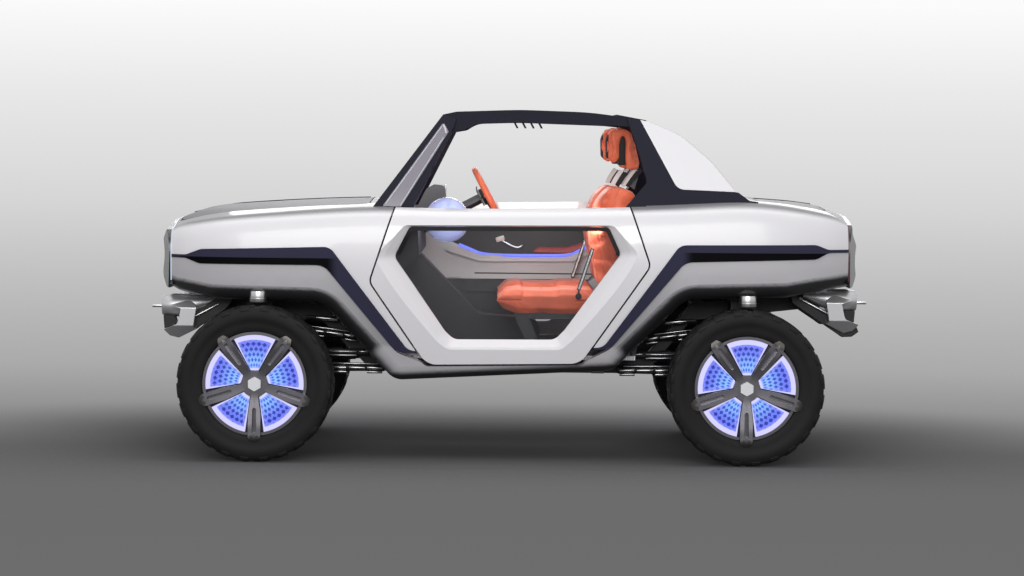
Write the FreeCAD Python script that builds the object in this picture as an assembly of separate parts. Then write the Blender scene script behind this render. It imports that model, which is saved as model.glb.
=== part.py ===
"""Open two-seat dune buggy, modelled as an assembly of separate pieces.

Millimetres. +X is forward, +Y is the car's left, +Z is up. The origin is on the ground, midway along the
overall length. The body is one smooth form, cut by outlines in side view into nose, doors, tail, lower side
rails and dark trim bands, and everything else is hung on the ladder frame underneath it.
"""
import FreeCAD, Part
import math
import os

V = FreeCAD.Vector
X_AXIS = V(1, 0, 0)
Y_AXIS = V(0, 1, 0)
Z_AXIS = V(0, 0, 1)
SIDES = {"left": 1, "right": -1}
ENDS = ("front", "rear")

# Overall sizes
HALF_LENGTH = 1710
BODY_HALF = 760
BODY_END = 1600
FASCIA_REACH = 57
FRONT_AXLE_X = 1190
REAR_AXLE_X = -1115

# Wheels
TYRE_R = 368
TYRE_W = 215
WHEEL_Y = 715
RIM_R = 244
BARREL_WALL = 14
SPOKES = 5
SPOKE_HALF = 29
SPOKE_TIP_R = 272
HUB_R = 62
SPINDLE_R = 32
SHAFT_CLEARANCE = 0.1
KINGPIN_Y = 600
MOTOR_R = 165
MOTOR_Y = 640
KNUCKLE_HALF_Z = 82
EAR_GAP = 6

# Walls and gaps
SHELL_WALL = 40
RAIL_WALL = 100
RAIL_ROUND = 80
DOOR_WALL = 75
LID_WALL = 22
DOOR_GAP = 8
LID_GAP = 6
LID_FRONT_GAP = 14
TRIM_PROUD = 10
CABIN_HALF = 668

# Door
RECESS_TILT = 5.7
RECESS_PIVOT = (762, 1000)
GLASS = 8

# Greenhouse
BELT_Z = 1195
ROOF_LEAN = 12
PILLAR_Y = 657
PILLAR_T = 55

# Frame and floor
FRAME_Y = 330
FRAME_W = 80
FRAME_H = 80
FLOOR_Z = 500
FLOOR_T = 20
AXLE_Z = TYRE_R
AXLE_R = 42
ARM_Y = 392
STRUT_Y = 500

# Seats and steering wheel
SEAT_Y = 350
SEAT_HALF = 235
WHEEL_CENTRE = V(114, -360, 1242)
WHEEL_TILT = 28

# Body stations, front to rear: x, half width, shoulder height, crown height
STATIONS = [
    (1630, 608, 1076, 1116), (1600, 628, 1090, 1130), (1550, 664, 1112, 1150), (1470, 700, 1131, 1176),
    (1350, 729, 1149, 1193), (1190, 746, 1165, 1205), (950, 757, 1184, 1220), (640, 760, 1200, 1230),
    (300, 760, 1198, 1230), (0, 760, 1200, 1230), (-300, 760, 1205, 1233), (-600, 760, 1214, 1237),
    (-900, 757, 1228, 1242), (-1120, 750, 1236, 1245), (-1300, 737, 1222, 1237), (-1430, 716, 1202, 1226),
    (-1520, 686, 1181, 1210), (-1600, 640, 1143, 1181), (-1630, 618, 1124, 1164),
]
WAIST_Z = 960
FORM_FOOT_Z = 250

# Side outlines, x and z, each with its corner radius
TRIM_FRONT_TOP = [(1640, 966, 0), (1528, 966, 60), (1455, 994, 60), (845, 1012, 60), (475, 524, 60), (400, 522, 0)]
TRIM_FRONT_FOOT = [(1640, 952, 0), (1528, 951, 60), (1462, 926, 60), (872, 926, 80), (530, 514, 90), (400, 513, 0)]
TRIM_REAR_TOP = [(-380, 546, 0), (-442, 548, 60), (-797, 1036, 60), (-1440, 1042, 60), (-1500, 1019, 60), (-1640, 1019, 0)]
TRIM_REAR_FOOT = [(-380, 538, 0), (-475, 540, 90), (-821, 956, 80), (-1440, 974, 60), (-1500, 1005, 60), (-1640, 1006, 0)]
DOOR_OUTLINE = [(540, 1300, 0), (540, 1200, 30), (655, 850, 45), (388, 458, 90), (-336, 470, 90), (-655, 935, 45),
                (-560, 1212, 30), (-560, 1300, 0)]
WINDOW = [(472, 1106, 22), (545, 962, 40), (305, 612, 70), (262, 571, 60), (-215, 574, 60), (-262, 622, 70),
          (-522, 985, 40), (-462, 1114, 30)]
SILL_TOP = [(415, 470, 40), (392, 449, 90), (-340, 461, 90), (-366, 482, 40)]
BODY_FOOT = [(-1640, 846, 0), (-1420, 812, 200), (-1300, 790, 200), (-829, 778, 130), (-491, 434, 90), (544, 378, 90),
             (878, 748, 130), (1394, 757, 300), (1560, 790, 150), (1640, 830, 0)]


def vec(point, plane, at):
    """A point of an outline drawn in one of the three main planes, as a point in space."""
    u, v = point[0], point[1]
    return {"xz": V(u, at, v), "xy": V(u, v, at), "yz": V(at, u, v)}[plane]


def rounded_wire(points, plane="xz", at=0.0):
    """A closed wire through the points, each (u, v) or (u, v, corner radius)."""
    corners = [vec(p, plane, at) for p in points]
    radii = [p[2] if len(p) > 2 else 0 for p in points]
    count = len(corners)
    entries = []
    for i, corner in enumerate(corners):
        before = corners[i - 1] - corner
        after = corners[(i + 1) % count] - corner
        half = before.getAngle(after) / 2
        if radii[i] <= 0 or half > math.radians(89.9):
            entries.append((corner, corner, None))
            continue
        reach = min(radii[i] / math.tan(half), 0.49 * before.Length, 0.49 * after.Length)
        start = corner + V(before).normalize() * reach
        end = corner + V(after).normalize() * reach
        inward = (V(before).normalize() + V(after).normalize()).normalize()
        middle = corner + inward * (reach / math.cos(half) - reach * math.tan(half))
        entries.append((start, end, middle))
    edges = []
    for i, (start, end, middle) in enumerate(entries):
        if middle is not None:
            edges.append(Part.Arc(start, middle, end).toShape())
        following = entries[(i + 1) % count][0]
        if end.distanceToPoint(following) > 1e-6:
            edges.append(Part.LineSegment(end, following).toShape())
    return Part.Wire(edges)


def prism(points, low, high, plane="xz", grow=0.0):
    """The outline, grown by an offset, pushed from low to high along the normal of its plane."""
    wire = rounded_wire(points, plane, low)
    if grow:
        wire = wire.makeOffset2D(grow)
    push = {"xz": V(0, high - low, 0), "xy": V(0, 0, high - low), "yz": V(high - low, 0, 0)}[plane]
    return Part.Face(wire).extrude(push)


def box(x0, x1, y0, y1, z0, z1):
    return Part.makeBox(x1 - x0, y1 - y0, z1 - z0, V(x0, y0, z0))


def rod(start, end, radius):
    """A round bar between two points."""
    a = V(*start)
    b = V(*end)
    return Part.makeCylinder(radius, (b - a).Length, a, b - a)


def ring(start, end, outer, inner):
    return rod(start, end, outer).cut(rod(start, end, inner))


def fuse(shapes):
    joined = shapes[0].fuse(shapes[1:]) if len(shapes) > 1 else shapes[0]
    return joined.removeSplitter()


def chained(shapes):
    """Joins shapes one after another, where joining all at once fails."""
    joined = shapes[0]
    for shape in shapes[1:]:
        joined = joined.fuse(shape)
    return joined


def mirrored(shape):
    """The same piece on the other side of the car."""
    return shape.mirror(V(0, 0, 0), Y_AXIS)


def on_side(shape, side):
    return shape if SIDES[side] > 0 else mirrored(shape)


def both(shape):
    return Part.makeCompound([shape, mirrored(shape)])


def turned(points, centre=(0, 0, 0)):
    """A ring made by turning an outline of (radius, outboard offset, corner radius) about the Y axis."""
    face = Part.Face(rounded_wire(points, "xy", 0))
    return face.revolve(V(0, 0, 0), Y_AXIS, 360).translate(V(*centre))


def pieces(name, shape):
    """Writes one node and returns it. A node may hold several solids that don't touch."""
    os.makedirs("parts", exist_ok=True)
    solids = shape.Solids
    bad = [s for s in solids if not s.isValid() or s.Volume <= 0]
    print(f"{name}: {len(solids)} solids, {sum(s.Volume for s in solids) / 1e6:.2f} litres, {len(bad)} bad")
    out = solids[0] if len(solids) == 1 else Part.makeCompound(solids)
    out.exportStep(f"parts/{name}.step")
    return out


# Body form

def section(x, half, shoulder, crown, inset):
    """The body's closed cross-section at x, inset by a wall."""
    w = half - inset
    s = shoulder - inset
    c = crown - inset
    rise = s - WAIST_Z
    side = [
        (w - 98, FORM_FOOT_Z), (w - 58, 500), (w - 22, 720), (w - 5, 860), (w, WAIST_Z),
        (w - 4, WAIST_Z + 0.35 * rise), (w - 17, WAIST_Z + 0.68 * rise), (w - 45, WAIST_Z + 0.91 * rise),
        (w - 100, s), (w * 0.6, s + 0.62 * (c - s)), (w * 0.3, s + 0.9 * (c - s)),
    ]
    left = [V(x, y, z) for y, z in side]
    right = [V(x, -y, z) for y, z in reversed(side)]
    curve = Part.BSplineCurve()
    curve.interpolate(left + [V(x, 0, c)] + right)
    foot = Part.LineSegment(right[-1], left[0]).toShape()
    return Part.Wire([curve.toShape(), foot])


def body_form(inset=0.0):
    wires = [section(x, w, s, c, inset) for x, w, s, c in STATIONS]
    return Part.makeLoft(wires, True, False)


def side_prism(points, grow=0.0):
    """A side outline pushed right across the car."""
    return prism(points, -900, 900, "xz", grow)


def ends_trimmed(shape):
    return shape.common(box(-BODY_END, BODY_END, -900, 900, 0, 1700))


def above(line, ceiling=1500):
    """The region over an open line of points, as an outline."""
    return line + [(line[-1][0], ceiling, 0), (line[0][0], ceiling, 0)]


def lid_outline(x_rear, x_front, rear_half, front_half, rear_round=60, front_round=120):
    return [(x_rear, -rear_half, rear_round), (x_front, -front_half, front_round), (x_front, front_half, front_round),
            (x_rear, rear_half, rear_round)]


BONNET = lid_outline(672, 1572, 590, 500)
DECK = lid_outline(-1500, -1190, 530, 580, 90, 60)
FORM = body_form()


def shell_wall(wall):
    return ends_trimmed(FORM.cut(body_form(wall)))


def nose_and_tail():
    """The white upper body in front of and behind the doors, with the lid openings cut."""
    wall = shell_wall(SHELL_WALL)
    cabin = box(-640, 585, -CABIN_HALF, CABIN_HALF, FORM_FOOT_Z, 1400)
    door_hole = side_prism(DOOR_OUTLINE, DOOR_GAP)
    nose = wall.common(side_prism(above(TRIM_FRONT_TOP))).cut([door_hole, cabin])
    tail = wall.common(side_prism(above(TRIM_REAR_TOP))).cut([door_hole, cabin])
    bonnet_hole = prism(BONNET, 1000, 1400, "xy", LID_GAP).fuse(
        prism([(x + (LID_FRONT_GAP if x > 1000 else 0), y, r) for x, y, r in BONNET], 1000, 1400, "xy"))
    deck_hole = prism(DECK, 1000, 1400, "xy", LID_GAP).fuse(
        prism([(x - (LID_FRONT_GAP if x < -1400 else 0), y, r) for x, y, r in DECK], 1000, 1400, "xy"))
    return pieces("nose_shell", nose.cut(bonnet_hole)), pieces("tail_shell", tail.cut(deck_hole))


def lids():
    panel = FORM.cut(body_form(LID_WALL))
    pieces("bonnet", panel.common(prism(BONNET, 1000, 1400, "xy")))
    pieces("deck_lid", panel.common(prism(DECK, 1000, 1400, "xy")))


def side_rails():
    """The lower side of the body from nose to tail, dipping to the sill, rounded under along its whole foot."""
    wall = shell_wall(RAIL_WALL).common(box(-2000, 2000, 0, 900, 0, 1700))
    outline = (TRIM_FRONT_FOOT[:-1] + SILL_TOP + TRIM_REAR_FOOT[1:] + BODY_FOOT)
    rail = wall.common(side_prism(outline))
    foot_edges = [e for e in rail.Edges if is_foot_edge(e)]
    rail = rail.makeFillet(RAIL_ROUND, foot_edges)
    return pieces("side_rails", both(rail))


def is_foot_edge(edge):
    """Whether an edge of the side rail runs along its outer foot."""
    middle = edge.valueAt((edge.FirstParameter + edge.LastParameter) / 2)
    if abs(middle.x) > BODY_END - 1 or edge.Length < 1:
        return False
    foot = side_foot_height(middle.x)
    half = side_half_width(middle.x)
    return abs(middle.z - foot) < 25 and middle.y > half - 80


def side_foot_height(x):
    line = sorted((p[0], p[1]) for p in BODY_FOOT)
    for (x0, z0), (x1, z1) in zip(line, line[1:]):
        if x0 <= x <= x1:
            return z0 + (z1 - z0) * (x - x0) / (x1 - x0)
    return line[0][1]


def side_half_width(x):
    line = sorted((s[0], s[1]) for s in STATIONS)
    for (x0, w0), (x1, w1) in zip(line, line[1:]):
        if x0 <= x <= x1:
            return w0 + (w1 - w0) * (x - x0) / (x1 - x0)
    return BODY_HALF


def side_trims():
    """Dark bands between the white upper body and the side rails, standing a little proud."""
    band = ends_trimmed(body_form(-TRIM_PROUD).cut(body_form(SHELL_WALL))).cut(side_prism(DOOR_OUTLINE, DOOR_GAP))
    half = band.common(box(-2000, 2000, 0, 900, 0, 1700))
    front = half.common(side_prism(TRIM_FRONT_TOP + TRIM_FRONT_FOOT[::-1]))
    rear = half.common(side_prism(TRIM_REAR_TOP + TRIM_REAR_FOOT[::-1]))
    strips = Part.makeCompound([front, rear])
    pieces("side_trims", Part.makeCompound([strips, mirrored(strips)]))


# Doors

def tilted(shape):
    """Leans a window cutter to the tuck of the body's side."""
    return shape.rotate(V(0, *RECESS_PIVOT), X_AXIS, -RECESS_TILT)


def doors():
    wall = FORM.cut(body_form(DOOR_WALL)).common(box(-2000, 2000, CABIN_HALF + 4, 900, 0, 1700))
    skin = wall.common(side_prism(DOOR_OUTLINE))
    opening = tilted(prism(WINDOW, RECESS_PIVOT[0] - 260, RECESS_PIVOT[0] + 60))
    shell = skin.cut(opening).cut(tilted(slope_cutter()))
    glass = tilted(prism(WINDOW, RECESS_PIVOT[0] - 52, RECESS_PIVOT[0] - 52 + GLASS, "xz", -0.5))
    for side in SIDES:
        pieces(f"door_{side}", on_side(shell, side))
        pieces(f"door_glass_{side}", on_side(glass, side))


def slope_cutter():
    """A tapered plug whose sides cut the sloping faces round the window."""
    y = RECESS_PIVOT[0]
    steps = ((1.30, 30), (1.09, -14), (1.0, -46))
    centre_x = sum(p[0] for p in WINDOW) / len(WINDOW)
    centre_z = 930
    wires = []
    for scale, offset in steps:
        points = [(centre_x + (x - centre_x) * scale, centre_z + (z - centre_z) * scale, r) for x, z, r in WINDOW]
        wires.append(rounded_wire(points, "xz", y + offset))
    return Part.makeLoft(wires, True, True)


def door_lining():
    """Inner panel of the right door: it shows through the left door's window."""
    panel = prism([(300, 592, 30), (540, 900, 30), (420, 1136, 20), (-440, 1140, 20), (-520, 940, 30), (-250, 592, 60)],
                  -664, -640)
    ledge = box(-420, 390, -672, -660, 1118, 1134)
    pocket_front = prism([(500, 805, 10), (255, 805, 10), (195, 742, 20), (470, 742, 10)], -652, -630)
    pocket_rear = prism([(165, 800, 25), (-430, 800, 25), (-430, 752, 20), (175, 752, 25)], -652, -630)
    lower = prism([(230, 732, 10), (-300, 732, 10), (-260, 640, 20), (180, 640, 40)], -652, -630)
    slot = box(-340, 190, -648, -630, 822, 830)
    armrest = prism([(300, 975, 10), (150, 925, 30), (-330, 930, 30), (-450, 985, 10), (-450, 950, 10),
                     (-330, 895, 30), (150, 890, 30), (330, 945, 10)], -642, -612)
    pieces("door_lining_right", panel.cut([pocket_front, pocket_rear, lower, slot]).fuse([armrest, ledge]))


# Front and rear faces

def end_face(sign):
    """The dark face plate at one end, its lamps, its light edge and its lamp recesses."""
    station = next(s for s in STATIONS if s[0] == sign * BODY_END)
    wire = section(sign * (BODY_END + 6), station[1], station[2], station[3], 5)
    plate = Part.Face(wire).extrude(V(sign * (FASCIA_REACH - 6), 0, 0))
    reach = sign * (BODY_END + FASCIA_REACH)
    foot = side_foot_height(sign * BODY_END) - 4
    profile = [(sign * (BODY_END + 6), 1400, 0), (sign * (BODY_END + 6), foot, 0), (reach - sign * 30, foot, 30),
               (reach, foot + 60, 120), (reach, 1026, 80), (reach - sign * 32, 1092, 30), (reach - sign * 60, 1400, 0)]
    plan = [(sign * 1500, -700, 0), (sign * 1500, 700, 0), (sign * (BODY_END + 10), 632, 0),
            (reach, 500, 160), (reach + sign * 3, 0, 0), (reach, -500, 160), (sign * (BODY_END + 10), -632, 0)]
    plate = plate.common(prism(profile, -900, 900)).common(prism(plan, 500, 1500, "xy"))
    lamp_z = 962
    lamp_y = 430
    lamp_r = 104
    holes = []
    lamps = []
    for y in (-lamp_y, lamp_y):
        back = reach - sign * 40
        holes.append(rod((back, y, lamp_z), (reach + sign * 20, y, lamp_z), lamp_r))
        lens = rod((back, y, lamp_z), (back + sign * 26, y, lamp_z), lamp_r - 6)
        groove = ring((back + sign * 14, y, lamp_z), (back + sign * 30, y, lamp_z), lamp_r - 24, lamp_r - 44)
        lamps.append(lens.cut(groove))
    slots = [prism([(y - 22, 905, 20), (y + 22, 905, 20), (y + 22, 1020, 20), (y - 22, 1020, 20)],
                   reach - sign * 30, reach + sign * 20, "yz") for y in (-200, -100, 0, 100, 200)]
    plate = plate.cut(holes + slots)
    edge_wire = section(sign * BODY_END, station[1], station[2], station[3], 3)
    edge = Part.Face(edge_wire).extrude(V(sign * 6, 0, 0))
    inner_wire = section(sign * (BODY_END - 1), station[1], station[2], station[3], 22)
    edge = edge.cut(Part.Face(inner_wire).extrude(V(sign * 8, 0, 0)))
    edge = edge.common(box(-2000, 2000, -900, 900, foot + 36, 1500))
    return plate, Part.makeCompound(lamps + [edge])


def end_faces():
    for end, sign in (("front", 1), ("rear", -1)):
        plate, lamps = end_face(sign)
        pieces(f"{end}_face", plate)
        pieces(f"{end}_lamps", lamps)


def bumper(end):
    """A cross beam with a bullet-shaped pod, a hexagonal clasp and a skid shoe at each side, and two tow rods."""
    sign = 1 if end == "front" else -1
    pod_z = {"front": 722, "rear": 770}[end]
    nose_x = 1652
    pod_y = 470
    half = 62

    def place(points):
        return [(sign * x, pod_z + z, r) for x, z, r in points]

    pod = prism(place([(1400, 26, 10), (1560, 56, 60), (1600, 58, 60), (nose_x, 40, 30), (nose_x, -46, 30),
                       (1560, -58, 60), (1405, 8, 10)]), pod_y - half, pod_y + half)
    pod = pod.common(prism([(sign * 1390, pod_y - 24, 10), (sign * 1560, pod_y - half, 60),
                            (sign * nose_x, pod_y - half + 12, 25), (sign * nose_x, pod_y + half - 12, 25),
                            (sign * 1560, pod_y + half, 60), (sign * 1390, pod_y + 24, 10)], pod_z - 100, pod_z + 100, "xy"))
    clasp = prism(place([(1518, 22, 0), (1606, 4, 0), (1570, -24, 0), (1566, -84, 0), (1636, -112, 0), (1575, -150, 0),
                         (1508, -98, 0), (1502, -10, 0)]), pod_y - half - 14, pod_y + half + 14)
    beam = prism(place([(1500, -34, 12), (1560, -44, 12), (1600, -30, 12), (1600, 24, 12), (1560, 36, 12),
                        (1500, 26, 12)]), -pod_y + half - 4, pod_y - half + 4)
    shoe = prism(place([(1505, -92, 10), (1640, -108, 10), (1668, -124, 10), (1575, -156, 10), (1500, -114, 10)]),
                 pod_y - half - 6, pod_y + half + 6)
    tow = rod((sign * 1640, pod_y, pod_z - 12), (sign * HALF_LENGTH, pod_y, pod_z - 12), 7)
    left = [pod, clasp, shoe, tow]
    return fuse([beam] + left + [mirrored(s) for s in left])


def bumpers():
    for end in ENDS:
        pieces(f"{end}_bumper", bumper(end))


# Greenhouse

def leaned(points, thickness, proud=0.0):
    """A side outline with a thickness, leaning inward as the cabin's side does."""
    cosine = math.cos(math.radians(ROOF_LEAN))
    local = [(x, BELT_Z + (z - BELT_Z) / cosine, r) for x, z, r in points]
    slab = prism(local, PILLAR_Y + proud - thickness, PILLAR_Y + proud)
    return slab.rotate(V(0, PILLAR_Y, BELT_Z), X_AXIS, ROOF_LEAN)


ROOF_TOP = [(324, 1638, 0), (261, 1652, 80), (-41, 1664, 2000), (-375, 1655, 1500), (-640, 1620, 0)]
ROOF_FOOT = [(-640, 1560, 0), (-560, 1588, 100), (-477, 1596, 200), (-41, 1608, 2000), (170, 1600, 200), (225, 1566, 40),
             (283, 1556, 0)]
A_PILLAR = [(655, 1192, 0), (466, 1192, 0), (272, 1580, 0), (262, 1620, 0), (324, 1638, 0)]
C_PILLAR = [(-548, 1630, 0), (-606, 1469, 60), (-648, 1331, 40), (-540, 1206, 0), (-550, 1192, 0), (-630, 1192, 0),
            (-650, 1208, 0), (-1165, 1212, 0), (-1170, 1240, 0), (-1128, 1245, 10), (-1075, 1284, 20), (-790, 1294, 60), (-611, 1622, 0)]
QUARTER = [(-609, 1622, 0), (-788, 1296, 58), (-1062, 1286, 0), (-949, 1424, 300), (-802, 1550, 300), (-650, 1613, 0)]
BLADE = [(604, 1202, 4), (517, 1200, 4), (296, 1556, 4), (322, 1600, 8)]


def greenhouse(shells):
    """Roof frame with pillars and screen header, standing on the shells, and the panels it carries."""
    rail = prism(ROOF_TOP + ROOF_FOOT, 498, 556)
    pillar = leaned(A_PILLAR, PILLAR_T)
    rear_pillar = leaned(C_PILLAR, PILLAR_T)
    spine = prism(ROOF_TOP + ROOF_FOOT, -45, 45)
    header = prism([(324, 1638, 0), (261, 1652, 20), (205, 1655, 10), (212, 1590, 20), (283, 1560, 0)], -530, 530)
    hoop = prism([(-500, 1646, 0), (-640, 1621, 5), (-640, 1600, 5), (-500, 1616, 5)], -530, 530)
    handles = [prism([(x, 1612, 0), (x - 10, 1612, 0), (x - 28, 1578, 2), (x - 18, 1578, 2)], -30, 30)
               for x in (-10, -50, -90, -130)]
    frame = fuse([rail, mirrored(rail), pillar, mirrored(pillar), rear_pillar, mirrored(rear_pillar), spine, header, hoop]
                 + handles)
    frame = pieces("roof_frame", frame.cut(list(shells)))
    pieces("pillar_blades", both(leaned(BLADE, 5, 5)))
    pieces("quarter_panels", both(leaned(QUARTER, 40)).cut(frame))


def glazing():
    lean = math.tan(math.radians(ROOF_LEAN))
    inner = PILLAR_Y - PILLAR_T - 6
    trapezoid = [(-inner, BELT_Z), (inner, BELT_Z), (inner - 450 * lean, BELT_Z + 450),
                 (-inner + 450 * lean, BELT_Z + 450)]
    throat = prism(trapezoid, -2000, 2000, "yz")
    screen = prism([(634, 1194, 0), (622, 1194, 0), (300, 1588, 0), (318, 1588, 0)], -700, 700)
    pieces("windscreen", screen.common(throat).cut(FORM))
    back = prism([(-642, 1612, 0), (-802, 1548, 300), (-949, 1422, 300), (-1058, 1284, 80), (-1082, 1230, 0),
                  (-1092, 1230, 0), (-1067, 1290, 80), (-956, 1430, 300), (-806, 1557, 300), (-642, 1621, 0)], -700, 700)
    pieces("rear_window", back.common(throat).cut(FORM))


# Cabin

def cabin():
    floor = fuse([box(-600, 600, -592, 592, FLOOR_Z - FLOOR_T, FLOOR_Z),
                  box(-325, 375, -655, 655, FLOOR_Z - FLOOR_T, FLOOR_Z)])
    toe = prism([(600, FLOOR_Z - FLOOR_T, 0), (640, FLOOR_Z + 200, 0), (640, 1150, 0), (620, 1150, 0), (620, FLOOR_Z + 200, 0),
                 (580, FLOOR_Z, 0)], -592, 592)
    pieces("floor_pan", fuse([floor, toe]))
    wall = prism([(-600, FLOOR_Z, 0), (-640, 700, 0), (-700, 1180, 0), (-680, 1180, 0), (-620, 700, 0),
                  (-580, FLOOR_Z, 0)], -592, 592)
    shelf = box(-1100, -690, -600, 600, 1160, 1180)
    pieces("rear_bulkhead", fuse([wall, shelf]))
    dash = prism([(618, 1148, 0), (618, 960, 0), (520, 900, 40), (430, 960, 40), (440, 1120, 50), (520, 1165, 40)],
                 -630, 630)
    tunnel = prism([(618, 960, 0), (618, 700, 0), (578, FLOOR_Z, 0), (-150, FLOOR_Z, 0), (-150, 640, 60), (150, 660, 80),
                    (440, 960, 60)], -75, 75)
    pod = prism([(480, 1130, 0), (476, 1165, 10), (424, 1270, 20), (384, 1292, 20), (330, 1288, 20), (322, 1200, 20),
                 (410, 1120, 20)], -430, -290)
    down = V(math.cos(math.radians(WHEEL_TILT)), 0, -math.sin(math.radians(WHEEL_TILT)))
    column = Part.makeCylinder(26, 420, WHEEL_CENTRE + down * 40, down).common(box(0, 500, -500, 500, 900, 1400))
    board = pieces("dashboard", fuse([dash, tunnel, pod, column]))
    orb = Part.makeSphere(112, V(312, 0, 1122))
    stalk = rod((460, 0, 1082), (330, 0, 1118), 24)
    pieces("orb_display", orb.fuse(stalk).cut(board))


# Seats

def seats():
    y0 = SEAT_Y - SEAT_HALF
    y1 = SEAT_Y + SEAT_HALF
    cushion = prism([(98, 775, 20), (60, 822, 30), (-30, 842, 40), (-70, 828, 30), (-215, 827, 30), (-245, 842, 30),
                     (-400, 842, 40), (-470, 790, 40), (-440, 696, 30), (-20, 696, 60)], y0, y1)
    back = prism([(-412, 812, 20), (-455, 1230, 60), (-470, 1318, 30), (-590, 1305, 40), (-640, 1100, 120),
                  (-545, 800, 60), (-480, 800, 30)], y0 + 5, y1 - 5)
    back = back.cut(cushion)
    head_y = 115
    head = prism([(-478, 1584, 35), (-484, 1430, 30), (-520, 1405, 20), (-548, 1440, 10), (-548, 1530, 10),
                  (-558, 1560, 10), (-572, 1530, 10), (-580, 1380, 10), (-628, 1380, 10), (-590, 1586, 35)],
                 SEAT_Y - head_y, SEAT_Y + head_y)
    stem = prism([(-582, 1390, 0), (-556, 1290, 0), (-596, 1290, 0), (-624, 1390, 0)], SEAT_Y - 60, SEAT_Y + 60)
    stem = stem.cut([head, back])
    legs = []
    for y in (SEAT_Y - 150, SEAT_Y + 150):
        legs.append(prism([(-20, 690, 0), (-100, 520, 0), (-150, 520, 0), (-90, 690, 0)], y - 18, y + 18))
        legs.append(prism([(-380, 695, 0), (-420, 520, 0), (-470, 520, 0), (-440, 695, 0)], y - 18, y + 18))
        legs.append(box(-500, 40, y - 22, y + 22, FLOOR_Z, 521))
    legs.append(box(-420, -30, SEAT_Y - 168, SEAT_Y + 168, 668, 696))
    pieces("seat_cushions", both(cushion))
    pieces("seat_backs", both(back))
    pieces("headrests", both(head))
    pieces("seat_frames", Part.makeCompound([both(stem), both(fuse(legs))]))


# Steering wheel

def steering_wheel():
    rim_ring = Part.makeTorus(140, 15, V(0, 0, 0), X_AXIS)
    hub = Part.makeCylinder(44, 34, V(0, 0, 0), X_AXIS)
    bars = [rod((16, 0, 0), (6, 136 * math.cos(a), 136 * math.sin(a)), 12)
            for a in (math.radians(0), math.radians(180), math.radians(270))]
    wheel = fuse([rim_ring, hub] + bars)
    wheel.rotate(V(0, 0, 0), Y_AXIS, WHEEL_TILT)
    wheel.translate(WHEEL_CENTRE)
    pieces("steering_wheel", wheel)


# Chassis

FRAME_LINE = [(-1500, 770), (-880, 700), (-660, 440), (660, 440), (900, 680), (1500, 716)]


def ladder_frame(rails):
    """Two kinked rails, and the cross members, strut towers and outriggers between them and the body's side."""
    half_h = FRAME_H / 2
    top = [(x, z + half_h, 60 if 0 < i < 5 else 0) for i, (x, z) in enumerate(FRAME_LINE)]
    foot = [(x, z - half_h, 60 if 0 < i < 5 else 0) for i, (x, z) in enumerate(FRAME_LINE)]
    rail = prism(top + foot[::-1], FRAME_Y - FRAME_W / 2, FRAME_Y + FRAME_W / 2)
    pieces("ladder_frame", both(rail))
    inner = FRAME_Y - FRAME_W / 2
    outer = FRAME_Y + FRAME_W / 2
    members = []
    for x, z in ((-1420, 755), (-930, 702), (-520, 440), (520, 440), (980, 684), (1440, 712)):
        members.append(box(x - 30, x + 30, -inner, inner, z - 30, z + 30))
    for axle in (FRONT_AXLE_X, REAR_AXLE_X):
        tower = box(axle - 60, axle + 60, outer, 552, 690, 786)
        members += [tower, mirrored(tower)]
    for x in (-420, 0, 420):
        outrigger = box(x - 30, x + 30, outer, 640, 420, 470)
        members += [outrigger, mirrored(outrigger)]
    pieces("cross_members", Part.makeCompound(members).cut(rails))
    pieces("power_pack", box(-450, 450, -280, 280, 392, FLOOR_Z - FLOOR_T))


# Trailing links: height at the frame end, height at the axle end, length
LINKS = ((412, 404, 520), (496, 500, 490), (566, 622, 440))


def suspension(end):
    """Rigid axle with trailing links and upright struts. The links run towards the doors."""
    x = FRONT_AXLE_X if end == "front" else REAR_AXLE_X
    toward = -1 if end == "front" else 1
    beam = rod((x, -540, AXLE_Z), (x, 540, AXLE_Z), AXLE_R)
    side = []
    side.append(rod((x, STRUT_Y, AXLE_Z), (x, STRUT_Y, 690), 24))
    side.append(rod((x, STRUT_Y, 560), (x, STRUT_Y, 690), 36))
    side.append(box(x - 40, x + 40, ARM_Y - 18, ARM_Y + 18, AXLE_Z - 60, 640))
    for low, high, length in LINKS:
        far = x + toward * length
        side.append(rod((x, ARM_Y, high), (far, ARM_Y, low), 12))
        side.append(rod((far - toward * 12, FRAME_Y + FRAME_W / 2, low), (far - toward * 12, ARM_Y, low), 11))
        for share in (0.3, 0.52, 0.74):
            clamp_x = x + toward * length * share
            clamp_z = high + (low - high) * share
            side.append(rod((clamp_x - 26, ARM_Y, clamp_z + 2), (clamp_x + 26, ARM_Y, clamp_z - 2), 17))
    yoke = box(x - 45, x + 45, 520, 560, AXLE_Z - 110, AXLE_Z + 110)
    if end == "front":
        foot = KNUCKLE_HALF_Z + EAR_GAP
        ears = []
        for z in (AXLE_Z - foot - 22, AXLE_Z + foot):
            ear = box(x - 26, x + 26, 540, KINGPIN_Y + 26, z, z + 22)
            ears.append(ear.cut(rod((x, KINGPIN_Y, z - 1), (x, KINGPIN_Y, z + 23), 16)))
        side = [yoke] + ears + side
    else:
        side = [yoke, rod((x, 540, AXLE_Z), (x, MOTOR_Y, AXLE_Z), 60)] + hub_parts(x) + side
    return chained([beam] + side + [mirrored(s) for s in side]).removeSplitter()


def hub_parts(x):
    """Hub motor housing and spindle on the left, in place."""
    return [rod((x, MOTOR_Y, AXLE_Z), (x, 689, AXLE_Z), MOTOR_R), rod((x, 680, AXLE_Z), (x, 765, AXLE_Z), SPINDLE_R)]


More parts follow.
